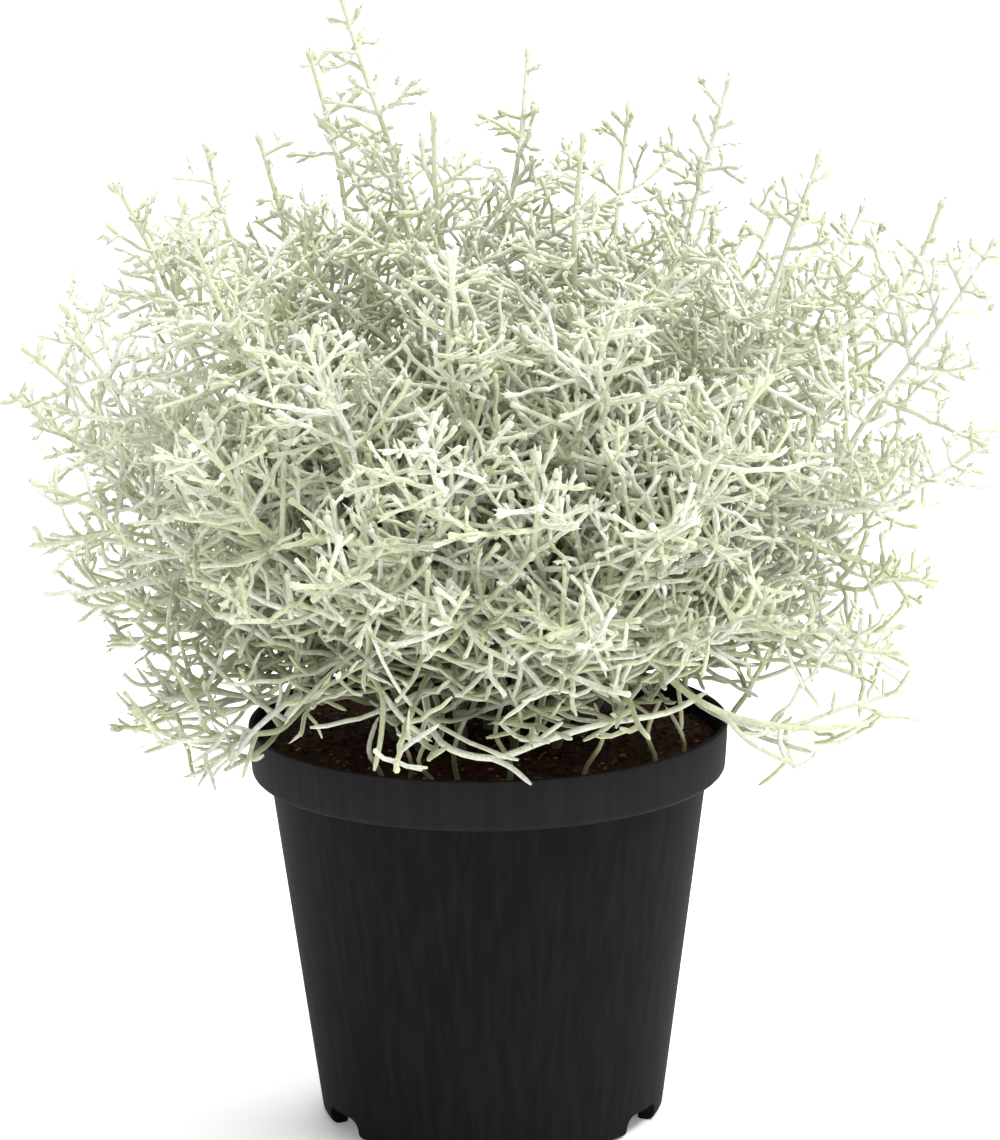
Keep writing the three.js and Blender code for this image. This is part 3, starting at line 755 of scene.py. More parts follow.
    @staticmethod
    def _strew(graph: Graph, group: bpy.types.Node, where: object, density: str, shape: object,
               scale: tuple[float, float], step: int) -> bpy.types.NodeSocket:
        """Strews one shape over the top.

        Args:
            graph: the tree.
            group: its group input.
            where: the selection of faces.
            density: the name of the input that holds how many lie on a square metre.
            shape: the geometry that is strewn.
            scale: the smallest and largest scale.
            step: what is added to the seed.

        Returns:
            The instances, with a paleness of their own.
        """
        seed = graph.math("ADD", group.outputs["Seed"], float(step))
        points = graph.add("GeometryNodeDistributePointsOnFaces", {
            "Mesh": group.outputs["Geometry"], "Selection": where,
            "Density": group.outputs[density], "Seed": seed})
        low, high = scale
        sizes = graph.turn(graph.draw(low, high, step + 1), graph.draw(low, high, step + 2),
                           graph.draw(low, high * LITTER_FLATNESS, step + 3))
        tilt, full_turn = LITTER_TILT, LITTER_TURN
        turns = graph.turn(graph.draw(-tilt, tilt, step + 4), graph.draw(-tilt, tilt, step + 5),
                           graph.draw(0.0, full_turn, step + 6))
        copies = graph.add("GeometryNodeInstanceOnPoints", {
            "Points": points.outputs[0], "Instance": shape, "Rotation": turns, "Scale": sizes})
        rarity = PALE_CRUMB_RARITY if step == 0 else PALE_FIBRE_RARITY
        pale = graph.math("POWER", graph.draw(0.0, 1.0, step + 7), rarity)
        stored = graph.add("GeometryNodeStoreNamedAttribute", {
            "Geometry": copies.outputs[0], "Name": "paleness", "Value": pale},
            data_type="FLOAT", domain="INSTANCE")
        return stored.outputs[0]

    def dress(self) -> None:
        """Builds the soil and lets it stand for its node."""
        bed = link_mesh("peat_bed", self.bed_mesh())
        soil = run_nodes(bed, self.litter_graph(), {
            "Crumbs": self.crumbs_per_area, "Fibres": self.fibres_per_area, "Seed": self.seed,
            "Fibre reach": self.top_radius - self.fibre_margin,
            "Material": self.finish.material()})
        place_piece(soil, "soil", "soil")


# Growth of the plant


class Order(IntEnum):
    """How far a limb is from the root."""

    LEADER = 0
    BRANCH = 1
    TWIG = 2
    BUD_TWIG = 3


@dataclass(frozen=True)
class Habit:
    """How side shoots grow along what carries them. Lengths are in mm, angles in radians."""

    start: float
    spacing: float
    pairs: tuple[float, float]
    base_length: float
    growth: float
    longest: float
    length_draw: tuple[float, float]
    angle: tuple[float, float]
    along: float
    lift: tuple[float, float]
    skirting: float
    sideways: float
    sparser: float
    longer: float
    thickness: float
    turn_spread: float = 1.2


HABITS = {
    Order.BRANCH: Habit(
        start=14.0, spacing=5.8, pairs=(0.85, 0.55), base_length=7.0, growth=0.5, longest=60.0,
        length_draw=(0.5, 0.7), angle=(0.95, 0.5), along=0.12, lift=(0.1, 0.6), skirting=0.55,
        sideways=1.0, sparser=0.4, longer=0.0, thickness=0.66),
    Order.TWIG: Habit(
        start=5.0, spacing=5.4, pairs=(0.85, 0.4), base_length=6.5, growth=0.42, longest=28.0,
        length_draw=(0.5, 0.8), angle=(0.85, 0.5), along=0.15, lift=(-0.05, 0.55), skirting=0.45,
        sideways=1.0, sparser=0.55, longer=0.35, thickness=0.54),
    Order.BUD_TWIG: Habit(
        start=4.0, spacing=5.5, pairs=(0.6, 0.35), base_length=2.4, growth=0.25, longest=8.0,
        length_draw=(0.6, 0.7), angle=(0.8, 0.5), along=0.2, lift=(0.0, 0.5), skirting=0.3,
        sideways=0.6, sparser=0.55, longer=0.35, thickness=0.47),
}
SPACING_DRAW = (0.75, 0.5)
RIPENESS = 0.75
SHOOT_END = 2.0
SHOOT_HALVES = (0.5, 0.55)
LEAVING_SHARE = 0.75
STEEPEST_DROP = -0.35
LOWEST_NODE = 110.0
LOW_NODES_BEYOND = 77.0
OLD_WOOD_THICKER = 0.3
SHOOT_TAPER = 0.15
SPRAY_TAPER = 0.25
KINK = 0.8
POINT_SPACING = 5.5
LINE_STEPS = 4

# Numbers of limbs: the sprays come after all branches, and twigs count in blocks for each carrier
LAID_NUMBER = 900
NUMBER_BLOCK = 40

# Where wood is young: between these heights, and between these distances from the axis
YOUNG_HEIGHTS = (130.0, 260.0)
YOUNG_RADII = (60.0, 120.0)
YOUTH_SHARES = (0.75, 0.4)

# Where a leader's way into its tip turns from drooping to rising, and from sideways to upright
RISE_HEIGHTS = (110.0, 250.0)
RISES = (-0.35, 1.0)
SIDE_HEIGHTS = (120.0, 270.0)
SIDES = (1.0, 0.28)


@dataclass
class Limb:
    """One limb of wood, in millimetres.

    Its points run from its root, sunk in what carries it, to its tip, with a radius at each.
    """

    order: Order
    points: list[Vector]
    radii: list[float]
    leader: int
    number: int = 0


@dataclass
class RootedStem:
    """One stem that stands in the soil, with all that grows on it."""

    number: int
    heading: Vector
    exit: Vector
    root_end: Vector
    trunk: list[Vector] = field(default_factory=list)
    limbs: list[Limb] = field(default_factory=list)


@dataclass(frozen=True)
class Spray:
    """A long bare shoot laid along listed points, in millimetres.

    It leaves its leader at a share of the leader's length, or else starts on another spray.
    """

    leader: int
    share: float | None
    points: tuple
    thickness: float = 0.9
    bears_twigs: bool = False


@dataclass
class Crown:
    """The plant's growth, by the rule and the driving sizes of its solids, in millimetres."""

    rings: tuple = ((1, 0.0, 0.0), (6, 13.0, 0.0), (12, 26.0, 0.5))
    leaders_per_stem: int = 3
    lean_room: tuple = (20.0, 2.0)
    widest_lean: float = 1.1
    upright_from: float = 80.0
    stem_splay: float = 60.0
    root_length: float = 16.0
    exit_height: float = 1.0
    knots: int = 7
    wander: float = 5.0
    pull: float = 0.36
    fork_knots: tuple = (0.0, 1.0, 1.4)
    fork_heading: tuple = (0.35, 0.65)
    sidestep: tuple = (4, 2)
    most_attempts: int = 40
    stem_radius: float = 1.2
    fork_radius: float = 1.0
    leader_end_radius: float = 0.7
    leader_taper: float = 0.8
    bud_radius: float = 1.1
    bud_place: float = 0.8
    side_factor: float = 1.35
    clearance: float = 0.45
    sure_miss: float = 45.0
    ground_clearance: float = 0.8
    rim_radius: float = 65.0
    rim_height: float = 110.0
    rim_zone: float = 3.0
    soil_edge: float = 103.0
    soil_mound: float = 3.5
    soil_roughness: float = 0.9
    pot_wall: float = 1.4
    heart_height: float = 140.0
    skirt_radius: float = 90.0
    slim_from: float = 225.0
    slim_beyond: float = 95.0
    slim_over: float = 45.0
    slim_share: float = 0.35
    spire_tips: tuple = (
        (-37, 15, 305), (13, 22, 289), (66, 5, 283), (-12, -30, 278), (-47, 48, 286), (41, 62, 269),
        (26, -55, 276), (87, -38, 268), (-72, -12, 269), (-76, -50, 260), (-99, 28, 253),
        (105, 40, 244), (121, -12, 252), (132, -40, 246))
    left_tips: tuple = (
        (-109, -30, 230), (-126, 30, 208), (-133, 60, 190), (-118, -35, 184),
        (-113, 50, 142), (-102, 0, 134), (-92, -45, 124), (-68, -62, 113))
    right_tips: tuple = (
        (134, -20, 190), (126, 50, 157), (121, 0, 147), (108, -50, 139), (115, 25, 112), (85, -40, 110))
    front_tips: tuple = (
        (-8, -80, 250), (-44, -95, 233), (34, -95, 240), (68, -95, 220), (-75, -85, 207),
        (-15, -115, 212), (18, -118, 202), (52, -110, 188), (-40, -110, 179), (-9, -112, 164),
        (28, -112, 159), (74, -85, 157), (-64, -85, 158), (11, -85, 125), (-15, -80, 120), (41, -80, 125))
    back_tips: tuple = (
        (-62, 60, 262), (57, 50, 243), (83, 70, 240), (-92, 40, 240), (0, 120, 205), (45, 118, 185),
        (-45, 115, 190), (95, 80, 180), (-95, 80, 175), (35, 112, 145), (-45, 105, 140),
        (100, -15, 124), (-85, -15, 121))
    sprays: tuple = (
        Spray(42, 0.6, ((-16, -52, 129), (-12, -70, 122), (1, -75, 119), (15, -73, 123), (29, -69, 126),
                        (46, -62, 127), (56, -58, 131)), 1.0),
        Spray(42, None, ((1, -75, 119), (6, -77, 117), (11, -79, 113)), 0.8),
        Spray(40, 0.3, ((-33, -56, 140), (-27, -68, 135), (-27, -71, 125), (-29, -71, 115))),
        Spray(40, None, ((-27, -68, 135), (-21, -71, 128), (-15, -74, 124)), 0.8),
        Spray(21, 0.7, ((-49, -44, 128), (-52, -56, 129), (-61, -60, 122), (-67, -60, 113))),
        Spray(21, None, ((-52, -56, 129), (-44, -62, 132), (-40, -66, 139)), 0.8),
        Spray(39, 0.4, ((46, -58, 136), (60, -66, 128), (80, -68, 124), (98, -60, 123)), 1.0),
        Spray(39, None, ((60, -66, 128), (67, -70, 121), (78, -70, 115)), 0.8),
        Spray(21, 0.45, ((-45, -30, 126), (-49, -40, 123), (-54, -48, 120), (-60, -52, 120), (-67, -55, 120),
                         (-77, -55, 123), (-85, -52, 121), (-92, -50, 127)), 0.85, True),
        Spray(21, None, ((-60, -52, 120), (-66, -60, 124), (-70, -64, 120), (-76, -66, 116)), 0.7, True),
        Spray(21, None, ((-60, -52, 120), (-64, -60, 118), (-70, -64, 116), (-74, -67, 111)), 0.7, True),
        Spray(21, None, ((-60, -52, 120), (-61, -62, 118), (-63, -66, 112)), 0.7),
        Spray(21, None, ((-67, -55, 120), (-74, -62, 121), (-81, -66, 122), (-88, -68, 121)), 0.7, True),
        Spray(20, 0.4, ((-60, -25, 123), (-72, -28, 126), (-81, -25, 131), (-89, -22, 137),
                        (-100, -18, 137)), 0.8, True),
        Spray(20, None, ((-72, -28, 126), (-80, -34, 123), (-90, -36, 118), (-99, -38, 119)), 0.7, True),
        Spray(27, 0.5, ((56, -35, 122), (68, -45, 119), (79, -50, 120), (94, -50, 125), (109, -45, 128)),
              0.85, True),
        Spray(27, None, ((76, -50, 120), (76, -54, 115), (79, -56, 111), (83, -56, 112),
                         (85, -54, 114)), 0.7),
        Spray(27, None, ((68, -45, 119), (80, -42, 114), (92, -38, 112), (102, -32, 116)), 0.8, True),
        Spray(42, None, ((-27, -48, 100), (-28, -49, 108), (-31, -48, 114), (-29, -44, 121)), 0.8),
        Spray(42, None, ((-15, -54, 100), (-14, -56, 107), (-18, -54, 113), (-13, -48, 121)), 0.7),
        Spray(42, None, ((-22, -44, 100), (-20, -47, 110), (-24, -43, 119)), 0.7),
        Spray(42, None, ((4, -48, 100), (6, -50, 110), (2, -46, 118), (5, -40, 127)), 0.8),
        Spray(42, None, ((-7, -42, 100), (-9, -44, 112), (-5, -40, 122)), 0.75),
        Spray(39, None, ((27, -48, 100), (25, -50, 108), (30, -46, 116), (28, -40, 124)), 0.75),
        Spray(39, None, ((42, -36, 100), (44, -39, 108), (42, -36, 115), (46, -30, 123)), 0.8),
        Spray(39, None, ((50, -26, 100), (52, -29, 110), (48, -25, 118)), 0.7))
    clear_height: float = 118.0
    clear_radius: float = 80.0
    lowest_tip: float = 97.0
    front_half: float = 55.0
    lowest_front_tip: float = 120.0

    def __post_init__(self) -> None:
        """Gathers the tips and starts with no leaders standing."""
        groups = (self.spire_tips, self.left_tips, self.right_tips, self.front_tips, self.back_tips)
        self.tips = [np.array(tip, float) for group in groups for tip in group]
        self.standing: list[tuple] = []

    def soil_height(self, radius: float) -> float:
        """The height of the soil at a distance from the axis."""
        share = clamp(radius / self.rim_radius, 0.0, 1.0)
        return self.soil_edge + self.soil_mound * (1.0 - share * share)

    def stem_bases(self) -> list[np.ndarray]:
        """Where the rooted stems come out of the soil, on rings round the axis."""
        bases = []
        for count, radius, shift in self.rings:
            for index in range(count):
                turn = 2.0 * math.pi * (index + shift) / count
                bases.append(np.array([radius * math.cos(turn), radius * math.sin(turn), 0.0]))
        return bases

    def share_tips(self, bases: list[np.ndarray]) -> list[list[int]]:
        """Gives each tip to the stem that stands nearest to where such a leader would rise from.

        Args:
            bases: where the stems stand.

        Returns:
            For each stem, its leaders' numbers, the most upright first.
        """
        height_room, ring_room = self.lean_room
        outermost = self.rings[-1][1] + ring_room
        groups: list[list[int]] = [[] for _ in bases]
        for leader in sorted(range(len(self.tips)), key=lambda i: (-self.tips[i][2], i)):
            tip = self.tips[leader]
            reach = math.hypot(tip[0], tip[1])
            lean = reach / (tip[2] - self.soil_edge + height_room)
            wanted = outermost * min(1.0, lean / self.widest_lean) / reach
            free = [s for s in range(len(bases)) if len(groups[s]) < self.leaders_per_stem]
            nearest = min(free, key=lambda s: math.hypot(bases[s][0] - tip[0] * wanted,
                                                         bases[s][1] - tip[1] * wanted))
            groups[nearest].append(leader)
        for group in groups:
            group.sort(key=lambda i: math.hypot(*self.tips[i][:2]) / (self.tips[i][2] - self.upright_from))
        return groups

    def leader_frame(self, start: np.ndarray, heading: np.ndarray, leader: int, attempt: int) -> list:
        """The four points of a leader's frame: up out of the soil, outwards, and on to its tip.

        Args:
            start: where it leaves the soil or its fork.
            heading: its direction there.
            leader: its number.
            attempt: how often it has been tried before, each time a little more to the side.

        Returns:
            The frame's points.
        """
        tip = self.tips[leader]
        length = np.linalg.norm(tip - start)
        outwards = np.array([tip[0], tip[1], 0.0]) / math.hypot(tip[0], tip[1])
        rise = RISES[0] + (RISES[1] - RISES[0]) * share_between(tip[2], RISE_HEIGHTS)
        side = SIDES[0] + (SIDES[1] - SIDES[0]) * share_between(tip[2], SIDE_HEIGHTS)
        arrival = outwards * side + np.array([0.0, 0.0, rise])
        arrival /= np.linalg.norm(arrival)
        width = self.sidestep[0] + self.sidestep[1] * attempt if attempt else 0
        shift = [(chance(leader, attempt, place, 71) - 0.5) * width for place in range(6)]
        first = start + heading * self.pull * length + np.array([shift[0], shift[1], 0.5 * shift[2]])
        second = tip - arrival * self.pull * length + np.array(shift[3:])
        return [start, first, second, tip]

    def leader_knots(self, frame_points: list, leader: int) -> list[np.ndarray]:
        """The points of a leader, which wanders a little on its way."""
        start, first, second, end = frame_points
        knots = []
        for knot in range(self.knots + 1):
            t = knot / self.knots
            s = 1.0 - t
            point = start * s ** 3 + first * 3 * s * s * t + second * 3 * s * t * t + end * t ** 3
            if 1 < knot < self.knots:
                sway = 2.0 * self.wander * math.sin(math.pi * knot / self.knots)
                point = point + np.array([chance(leader, knot, axis, 5) - 0.5 for axis in range(3)]) * sway
            knots.append(point)
        return knots

    def fork_from(self, knots: list[np.ndarray], place: float, leader: int) -> tuple:
        """Where a later leader leaves the first one, and in which direction."""
        below = math.floor(place)
        step = knots[below + 1] - knots[below]
        exit_point = knots[below] + step * (place - below)
        towards = self.tips[leader] - exit_point
        onwards, aside = self.fork_heading
        heading = onwards * step / np.linalg.norm(step) + aside * towards / np.linalg.norm(towards)
        return exit_point, heading / np.linalg.norm(heading)

    def is_clear(self, points: list, radii: list, stem: int, parent: int) -> bool:
        """Whether a leader misses all leaders that stand, but for its first piece at its own stem.

        Args:
            points: its points.
            radii: its radii.
            stem: the number of its rooted stem.
            parent: the leader that it forks off, or -1.

        Returns:
            True if it has room.
        """
        for index, (a, b) in enumerate(zip(points, points[1:])):
            radius = max(radii[index], radii[index + 1])
            for c, d, other_radius, other_stem, other in self.standing:
                if other_stem == stem and (index < 1 or other == parent):
                    continue
                far = max(abs(a[0] - c[0]), abs(a[2] - c[2])) > self.sure_miss
                if not far and segment_distance(a, b, c, d) < radius + other_radius + self.clearance:
                    return False
        return True

    def meets_ground(self, point: np.ndarray, radius: float) -> bool:
        """Whether a point with some room round it is in the pot's rim or the soil."""
        reach = math.hypot(point[0], point[1])
        room = radius + self.ground_clearance
        if reach > self.rim_radius + room:
            return False
        near_rim = reach > self.rim_radius - self.pot_wall - self.rim_zone
        floor = self.rim_height if near_rim else self.soil_height(reach) + self.soil_roughness
        return point[2] < floor + room

    def grow_leader(self, stem: RootedStem, order: int, leader: int) -> None:
        """Grows one leader of a stem: the first stands in the soil, the later ones fork off it.

        Args:
            stem: the rooted stem, which gains the leader.
            order: which of its leaders this is.
            leader: the leader's number.
        """
        is_first = order == 0
        exit_point, heading = np.array(stem.exit), np.array(stem.heading)
        if not is_first:
            exit_point, heading = self.fork_from(stem.trunk, self.fork_knots[order], leader)
        start_radius = (self.stem_radius if is_first else self.fork_radius) * self.side_factor
        end_radius = self.leader_end_radius * self.side_factor
        for attempt in range(self.most_attempts):
            knots = self.leader_knots(self.leader_frame(exit_point, heading, leader, attempt), leader)
            points = [np.array(stem.root_end), *knots] if is_first else list(knots)
            last = len(points) - 1
            radii = [start_radius + (end_radius - start_radius) * i / last for i in range(last)]
            radii += [self.bud_radius * self.side_factor, 0.0]
            bud_end = points[-2] + (points[-1] - points[-2]) * self.bud_place
            drawn = [*points[:-1], bud_end, points[-1]]
            parent = -1 if is_first else stem.limbs[0].leader
            grounded = any(self.meets_ground(knot, self.leader_end_radius) for knot in knots[2:])
            if not grounded and self.is_clear(drawn, radii, stem.number, parent):
                self.standing += [(drawn[i], drawn[i + 1], max(radii[i], radii[i + 1]), stem.number, leader)
                                  for i in range(len(drawn) - 1)]
                if is_first:
                    stem.trunk = knots
                stem.limbs.append(self.leader_limb(stem, knots, leader, is_first))
                return
        raise ValueError(f"leader {leader} finds no clear way")

    def leader_limb(self, stem: RootedStem, knots: list, leader: int, is_first: bool) -> Limb:
        """The smooth limb through a leader's knots."""
        line = smooth_line([Vector(knot) for knot in knots], LINE_STEPS)
        start = self.stem_radius if is_first else self.fork_radius
        end = self.leader_end_radius
        radii = [start + (end - start) * (i / (len(line) - 1)) ** self.leader_taper
                 for i in range(len(line))]
        if is_first:
            line = [stem.root_end, *line]
            radii = [start, *radii]
        return Limb(Order.LEADER, line, radii, leader)

    def grow(self) -> list[RootedStem]:
        """Grows the whole plant.

        Returns:
            The rooted stems with all their limbs.
        """
        bases = self.stem_bases()
        groups = self.share_tips(bases)
        stems = []
        for number, base in enumerate(bases):
            heading = Vector((base[0], base[1], self.stem_splay)).normalized()
            height = self.soil_height(math.hypot(base[0], base[1])) + self.exit_height
            exit_point = Vector((base[0], base[1], height))
            stems.append(RootedStem(number, heading, exit_point, exit_point - heading * self.root_length))
        for order in range(self.leaders_per_stem):
            for stem in stems:
                if len(groups[stem.number]) > order:
                    self.grow_leader(stem, order, groups[stem.number][order])
        for stem in stems:
            self.grow_shoots(stem)
        return stems

    def grow_shoots(self, stem: RootedStem) -> None:
        """Grows the branches, twigs and bud twigs of one stem."""
        carriers = list(stem.limbs)
        leaders = {limb.leader: limb for limb in stem.limbs}
        laid = [(spray, self.spray_limb(spray, leaders[spray.leader], index))
                for index, spray in enumerate(self.sprays) if spray.leader in leaders]
        for order in (Order.BRANCH, Order.TWIG, Order.BUD_TWIG):
            grown = []
            for carrier in carriers:
                grown += [shoot for shoot in self.shoots_along(carrier, order) if self.is_free(shoot)]
            stem.limbs += grown
            carriers = grown
            if order is Order.BRANCH:
                carriers = grown + [limb for spray, limb in laid if spray.bears_twigs]
        stem.limbs += [limb for _, limb in laid]

    def is_free(self, shoot: Limb) -> bool:
        """Whether a shoot stays out of the soil and the rim, and off the clear space over them."""
        for point in shoot.points[1:]:
            reach = math.hypot(point.x, point.y)
            is_low = point.z < self.clear_height and reach < self.clear_radius
            lowest = self.lowest_tip if abs(point.x) > self.front_half else self.lowest_front_tip
            if is_low or point.z < lowest or self.meets_ground(point, self.leader_end_radius):
                return False
        return True

    @staticmethod
    def spray_limb(spray: Spray, leader: Limb, index: int) -> Limb:
        """The limb of a spray.

        Args:
            spray: the spray.
            leader: the leader that bears it.
            index: its place in the list.

        Returns:
            The limb, smooth through the spray's points.
        """
        knots = [Vector(point) for point in spray.points]
        if spray.share is not None:
            knots.insert(0, point_along(leader.points, spray.share * length_of(leader.points))[0])
        line = smooth_line(knots, LINE_STEPS)
        radii = [spray.thickness * (1.0 - SPRAY_TAPER * i / (len(line) - 1)) for i in range(len(line))]
        return Limb(Order.BRANCH, line, radii, leader.leader, LAID_NUMBER + index)

    def shoots_along(self, carrier: Limb, order: Order) -> list[Limb]:
        """The shoots that grow on a limb, each pair turned a right angle from the last.

        Args:
            carrier: the limb.
            order: what grows on it.

        Returns:
            The shoots.
        """
        habit = HABITS[order]
        line = carrier.points[1:] if self._stands(carrier) else carrier.points
        total = length_of(line)
        name = 0 if order is Order.BRANCH else carrier.number + 1
        distance = habit.start
        node = 0
        shoots = []
        while distance < total - SHOOT_END:
            point, tangent = point_along(line, distance)
            is_ripe = order is not Order.BUD_TWIG or youth_at(point) > RIPENESS * chance(
                carrier.leader, name, node, 32)
            for half in range(2):
                number = node * 2 + half
                draws = [chance(carrier.leader, name, number, purpose) for purpose in range(9)]
                is_high = point.z > LOWEST_NODE or math.hypot(point.x, point.y) > LOW_NODES_BEYOND
                if draws[1] < habit.pairs[half] and is_high and is_ripe:
                    first_turn = chance(carrier.leader, name, 0, 9) * 2.0 * math.pi
                    turn = first_turn + (node % 2) * math.pi / 2 + half * math.pi
                    turn += (draws[2] - 0.5) * habit.turn_spread
                    shoot = self.shoot(point, tangent, total - distance, turn, habit, draws, order)
                    shoot.leader = carrier.leader
                    shoot.number = number if order is Order.BRANCH else name * NUMBER_BLOCK + number
                    shoots.append(shoot)
            step = SPACING_DRAW[0] + SPACING_DRAW[1] * chance(carrier.leader, name, node, 31)
            distance += habit.spacing * step * (1.0 + habit.sparser * (1.0 - youth_at(point)))
            node += 1
        return shoots

    @staticmethod
    def _stands(carrier: Limb) -> bool:
        """Whether a limb is a leader that starts in the soil, below its first knot."""
        return carrier.order is Order.LEADER and len(carrier.points) % 2 == 0

    def shoot(self, root: Vector, tangent: Vector, left: float, turn: float, habit: Habit,
              draws: list[float], order: Order) -> Limb:
        """One shoot, which leaves its carrier at an angle and bends up and outwards.

        Args:
            root: where it grows.
            tangent: the carrier's direction there.
            left: how much of the carrier is left beyond it.
            turn: its turn round the carrier.
            habit: how such shoots grow.
            draws: its random draws.
            order: what it is.

        Returns:
            The shoot.
        """
        high = (root.z - self.slim_from) / self.slim_over
        wide = (math.hypot(root.x, root.y) - self.slim_beyond) / self.slim_over
        slimming = clamp(max(high, wide), 0.0, 1.0) * self.slim_share
        full = min(habit.base_length + habit.growth * left, habit.longest) * (1.0 - slimming)
        full *= 1.0 + habit.longer * (1.0 - youth_at(root))
        length = full * (habit.length_draw[0] + habit.length_draw[1] * draws[4])
        leaving = side_direction(tangent, turn, habit.angle[0] + habit.angle[1] * draws[3])
        if leaving.z < STEEPEST_DROP:
            leaving.z = STEEPEST_DROP
            leaving.normalize()
        sideways = Vector((draws[6] - 0.5, draws[7] - 0.5, 0.0))
        lift = habit.lift[0] + habit.lift[1] * draws[5]
        ending = leaving * LEAVING_SHARE + tangent * habit.along + UP * lift
        ending += sideways * habit.sideways
        outwards = root - Vector((0.0, 0.0, self.heart_height))
        held = habit.skirting * clamp(outwards.length / self.skirt_radius, 0.0, 1.0)
        outwards.normalize()
        ending -= outwards * max(0.0, ending.dot(outwards)) * held
        ending.normalize()
        middle = root + leaving * SHOOT_HALVES[0] * length
        end = middle + ending * SHOOT_HALVES[1] * length
        steps = max(2, round(length / POINT_SPACING) + 1)
        line = []
        for step in range(steps + 1):
            t = step / steps
            point = root * (1 - t) ** 2 + middle * 2 * (1 - t) * t + end * t * t
            if 0 < step < steps:
                kink = Vector((draws[8] - 0.5, draws[0] - 0.5, draws[2] - 0.5)) * KINK
                point = point + kink * (-1) ** step
            line.append(point)
        thick = habit.thickness * (1.0 + OLD_WOOD_THICKER * (1.0 - youth_at(root)))
        radii = [thick * (1.0 - SHOOT_TAPER * i / steps) for i in range(steps + 1)]
        return Limb(order, line, radii, 0)


def segment_distance(a: np.ndarray, b: np.ndarray, c: np.ndarray, d: np.ndarray) -> float:
    """The distance between the segments from a to b and from c to d."""
    first, second, between = b - a, d - c, a - c
    aa, bb, ab = first @ first, second @ second, first @ second
    ar, br = first @ between, second @ between
    wide = aa * bb - ab * ab
    s = clamp((ab * br - ar * bb) / wide, 0.0, 1.0) if wide > 1e-9 else 0.0
    t = (ab * s + br) / bb
    if t < 0.0 or t > 1.0:
        t = clamp(t, 0.0, 1.0)
        s = clamp((ab * t - ar) / aa, 0.0, 1.0)
    gap = between + first * s - second * t
    return math.sqrt(gap @ gap)


def youth_at(point: Vector) -> float:
    """How young the wood is at a point in millimetres: more so high up and far out."""
    high = share_between(point.z, YOUNG_HEIGHTS)
    wide = share_between(math.hypot(point.x, point.y), YOUNG_RADII)
    return clamp(YOUTH_SHARES[0] * high + YOUTH_SHARES[1] * wide, 0.0, 1.0)


def side_direction(tangent: Vector, turn: float, angle: float) -> Vector:
    """A direction at an angle from the tangent, turned round it."""
    across = any_across(tangent)
    beside = tangent.cross(across)
    sine = math.sin(angle)
    mixed = tangent * math.cos(angle) + across * (math.cos(turn) * sine) + beside * (math.sin(turn) * sine)
    return mixed.normalized()


def smooth_line(knots: list[Vector], steps: int) -> list[Vector]:
    """A smooth line through knots, with a number of steps between each two."""
    line = []
    for index in range(len(knots) - 1):
        before = knots[max(index - 1, 0)]
        after = knots[min(index + 2, len(knots) - 1)]
        a, b = knots[index], knots[index + 1]
        for step in range(steps):
            t = step / steps
            line.append(0.5 * ((2 * a) + (b - before) * t + (2 * before - 5 * a + 4 * b - after) * t * t
                               + (3 * a - before - 3 * b + after) * t ** 3))
    return [*line, knots[-1]]


# The felted stems


